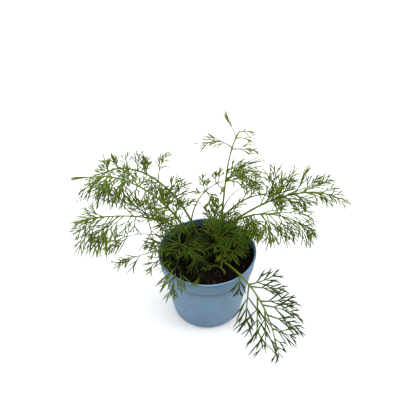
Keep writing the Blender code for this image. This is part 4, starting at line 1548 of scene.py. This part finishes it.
def own_habit(stem, number):
    """The name of the habit that a leaf has for itself, if it has one."""
    return LEAF_HABITS.get(stem.name, {}).get(number)


print("leaves with a habit of their own:", sum(len(leaves) for leaves in LEAF_HABITS.values()))

# %% [markdown]
# ## Young leaves
# Between the large leaves grow smaller ones, which no plan needs to list one by one. Each is a large
# leaf's neighbour: moved down the stem, turned aside and shortened by a seeded draw, with only two
# pairs of leaflets. They stand closest near the foot of a stem, where the photo is dense. One whose
# stalk would cut through the pot is left out.

# %% Draw the young leaves
YOUNG_LEAVES = {
    "dill_left_bush": 1,
    "dill_right_bush": 2,
    "dill_left_arch": 1,
    "dill_left_middle": 1,
    "dill_left_low": 1,
    "dill_right_long": 1,
    "dill_right_lower": 1,
}
YOUNG_MORE = {("dill_tall", 1): 3, ("dill_tall", 2): 2, ("dill_right_upper", 0): 2}
NEAR_FOOT = 0.55
YOUNG_NEAR_FOOT = 3
STEM_WANDER = 28
CLUMP_WANDER = 60
CLUMP_UPRIGHT = 0.6
YOUNG_PLACE = (-0.15, 0.07)
YOUNG_LOWEST = 0.1
YOUNG_RISE = (-15, 15)
YOUNG_STEEPEST = 85
YOUNG_DROOP = (-20, 15)
YOUNG_LENGTH = (0.8, 1.2)
YOUNG_PAIRS = 2
YOUNG_STALK = 0.15


def young_leaves(stem, stem_line):
    """Smaller leaves that a dense plant grows between its larger ones, where there is room."""
    draw = random.Random(f"{SEED} small {stem.name}")
    clump = PLANT_HABITS.get(stem.name) == "clump"
    wander, upright = (CLUMP_WANDER, CLUMP_UPRIGHT) if clump else (STEM_WANDER, 1)
    for number, leaf in enumerate(stem.leaves):
        if own_habit(stem, number):
            continue
        count = YOUNG_LEAVES.get(stem.name, 0) + YOUNG_MORE.get((stem.name, number), 0)
        if leaf.at < NEAR_FOOT and stem.name in YOUNG_LEAVES and not clump:
            count += YOUNG_NEAR_FOOT
        for _ in range(count):
            young = leaf._replace(
                at=min(max(leaf.at + draw.uniform(*YOUNG_PLACE), YOUNG_LOWEST), 1),
                heading=leaf.heading + draw.uniform(-wander, wander),
                rise=min(leaf.rise * upright + draw.uniform(*YOUNG_RISE), YOUNG_STEEPEST),
                droop=leaf.droop * upright + draw.uniform(*YOUNG_DROOP),
                length=leaf.length * draw.uniform(*YOUNG_LENGTH),
                pairs=YOUNG_PAIRS,
                stalk=YOUNG_STALK,
                turn=draw.uniform(-wander, wander),
            )
            start, _ = along(stem_line, young.at)
            if free_of_pot(bent_line(start, young, STALK_BEND, STALK_STEPS)):
                yield young


print("plants with young leaves:", len(YOUNG_LEAVES))

# %% [markdown]
# ## The seedlings
# Now each seedling can grow: its stem, its leaves and its young leaves are gathered into one mesh.
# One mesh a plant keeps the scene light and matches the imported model, which has one node for each.

# %% Grow the seedlings
def grow_seedling(stem):
    """All the limbs of a seedling."""
    plant = Gather()
    foot = Vector((stem.foot[0] * MM, stem.foot[1] * MM, SOIL_LEVEL + FOOT_RISE))
    stem_line = bent_line(foot, stem, stem.bend, STEM_STEPS)
    habit = HABITS[PLANT_HABITS.get(stem.name, "grown")]
    age = PLANT_AGES.get(stem.name, habit.age)
    grow_stem(plant, stem, stem_line)
    for number, leaf in enumerate(stem.leaves):
        own = own_habit(stem, number)
        if own == "folded":
            grow_folded_leaf(plant, stem, number, leaf, stem_line, HABITS[own])
        elif own:
            grow_leaf(plant, stem, number, leaf, stem_line, HABITS[own], HABITS[own].age)
        else:
            grow_leaf(plant, stem, number, leaf, stem_line, habit, age)
    for number, leaf in enumerate(young_leaves(stem, stem_line)):
        grow_leaf(plant, stem, f"young {number}", leaf, stem_line, habit, age)
    return plant


plants = {}
for stem in STEMS:
    plants[stem.name] = grow_seedling(stem)
    print(stem.name, len(plants[stem.name].faces), "faces")

# %% [markdown]
# ## The green of the threads
# The threads are a soft mid green, lighter on some and yellow on old ones, with hardly any gleam.
# The colour comes from the group that reads the marks that each limb carries, so one material
# serves thousands of threads that all differ a little.

# %% Material: dill threads
SHADED_GREEN = shade(10, 18, 2)

thread_green, tree, shader = new_material("dill_threads")
place = object_place(tree)
tint = use_group(tree, limb_tint, {
    "Dark": shade(54, 76, 18), "Light": shade(98, 120, 34), "Aged": shade(140, 142, 36),
    "Shaded": SHADED_GREEN,
})
skin = use_group(tree, relief, {"Place": place, "Scale": 2500.0, "Depth": 0.00005})
cover = use_group(tree, patches, {"Place": place, "Scale": 900.0})
roughness = add_node(
    tree, "ShaderNodeMapRange", {"Value": cover.outputs["Mask"], "To Min": 0.5, "To Max": 0.75}
).outputs["Result"]
fill_inputs(tree, shader, {
    "Base Color": tint.outputs["Color"],
    "Roughness": roughness,
    "Normal": skin.outputs["Normal"],
    "Specular IOR Level": 0.06,
})
print("material:", thread_green.name)

# %% [markdown]
# ## The green of the stems
# The stems and stalks are yellower than the threads and shine more, because their skin is tight.
# They take their colour from the same group, with greens of their own, and go just as dark in the
# shade.

# %% Material: dill stems
stem_green, tree, shader = new_material("dill_stems")
place = object_place(tree)
tint = use_group(tree, limb_tint, {
    "Dark": shade(66, 90, 8), "Light": shade(98, 122, 24), "Aged": shade(140, 150, 60),
    "Shaded": SHADED_GREEN,
})
cover = use_group(tree, patches, {"Place": place, "Scale": 700.0})
skin = use_group(tree, relief, {"Place": place, "Scale": 1800.0, "Depth": 0.00008})
roughness = add_node(
    tree, "ShaderNodeMapRange", {"Value": cover.outputs["Mask"], "To Min": 0.4, "To Max": 0.6}
).outputs["Result"]
fill_inputs(tree, shader, {
    "Base Color": tint.outputs["Color"],
    "Roughness": roughness,
    "Normal": skin.outputs["Normal"],
    "Specular IOR Level": 0.2,
})
print("material:", stem_green.name)

# %% [markdown]
# ## The finished seedlings
# Each gathered plant becomes one object with both greens, in the order of the numbers that its limbs
# were given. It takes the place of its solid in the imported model.

# %% Make the seedlings' objects
for name, plant in plants.items():
    piece = plant.piece(f"{name}_fine", [thread_green, stem_green])
    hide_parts(name)
print("seedlings:", len(plants))

# %% [markdown]
# ## The floor
# The plant stands on white paper that runs on past the edge of the picture, as in a small photo
# studio. The floor is no part of the model.

# %% A white floor
FLOOR_SIDE = 6.0

shape = bmesh.new()
bmesh.ops.create_grid(shape, x_segments=1, y_segments=1, size=FLOOR_SIDE / 2)
floor_mesh = bpy.data.meshes.new("floor")
shape.to_mesh(floor_mesh)
shape.free()
floor = bpy.data.objects.new("floor", floor_mesh)
bpy.context.scene.collection.objects.link(floor)
paper, tree, shader = new_material("white_paper")
paper_tone = use_group(
    tree, patches,
    {"Place": object_place(tree), "Scale": 3.0, "Dark": shade(250, 250, 250), "Light": shade(252, 252, 252)},
)
fill_inputs(tree, shader, {"Base Color": paper_tone.outputs["Color"], "Roughness": 0.9})
floor_mesh.materials.append(paper)
print("floor:", FLOOR_SIDE, "m a side")

# %% [markdown]
# ## Light
# A soft, wide light shines from above and a weaker one from each side, so that the pot's front is
# a little darker than its flanks. Large area lights give soft edges to the shadows, and a bright
# world fills them. Each row of the table is a light's place, its side in metres and its power in
# watts.

# %% Lights and the world
LIGHTS = {
    "overhead": ((0.1, 0.2, 1.6), 2.2, 22),
    "left": ((-1.4, -0.3, 0.9), 1.0, 9),
    "right": ((1.4, -0.2, 0.9), 1.0, 9),
}
WORLD_COLOUR = (1, 1, 1, 1)
WORLD_STRENGTH = 0.85


def add_light(name, place, size, power):
    """A square area light that shines at the pot."""
    data = bpy.data.lights.new(name, "AREA")
    data.size = size
    data.energy = power
    light = bpy.data.objects.new(name, data)
    light.location = place
    light.rotation_euler = (rim_centre - light.location).to_track_quat("-Z", "Y").to_euler()
    bpy.context.scene.collection.objects.link(light)


for name, (place, size, power) in LIGHTS.items():
    add_light(name, place, size, power)
world = bpy.data.worlds.new("studio")
world.use_nodes = True
background = world.node_tree.nodes["Background"].inputs
background["Color"].default_value = WORLD_COLOUR
background["Strength"].default_value = WORLD_STRENGTH
bpy.context.scene.world = world
bpy.context.scene.view_settings.view_transform = "Standard"
print("lights:", [thing.name for thing in bpy.data.objects if thing.type == "LIGHT"])
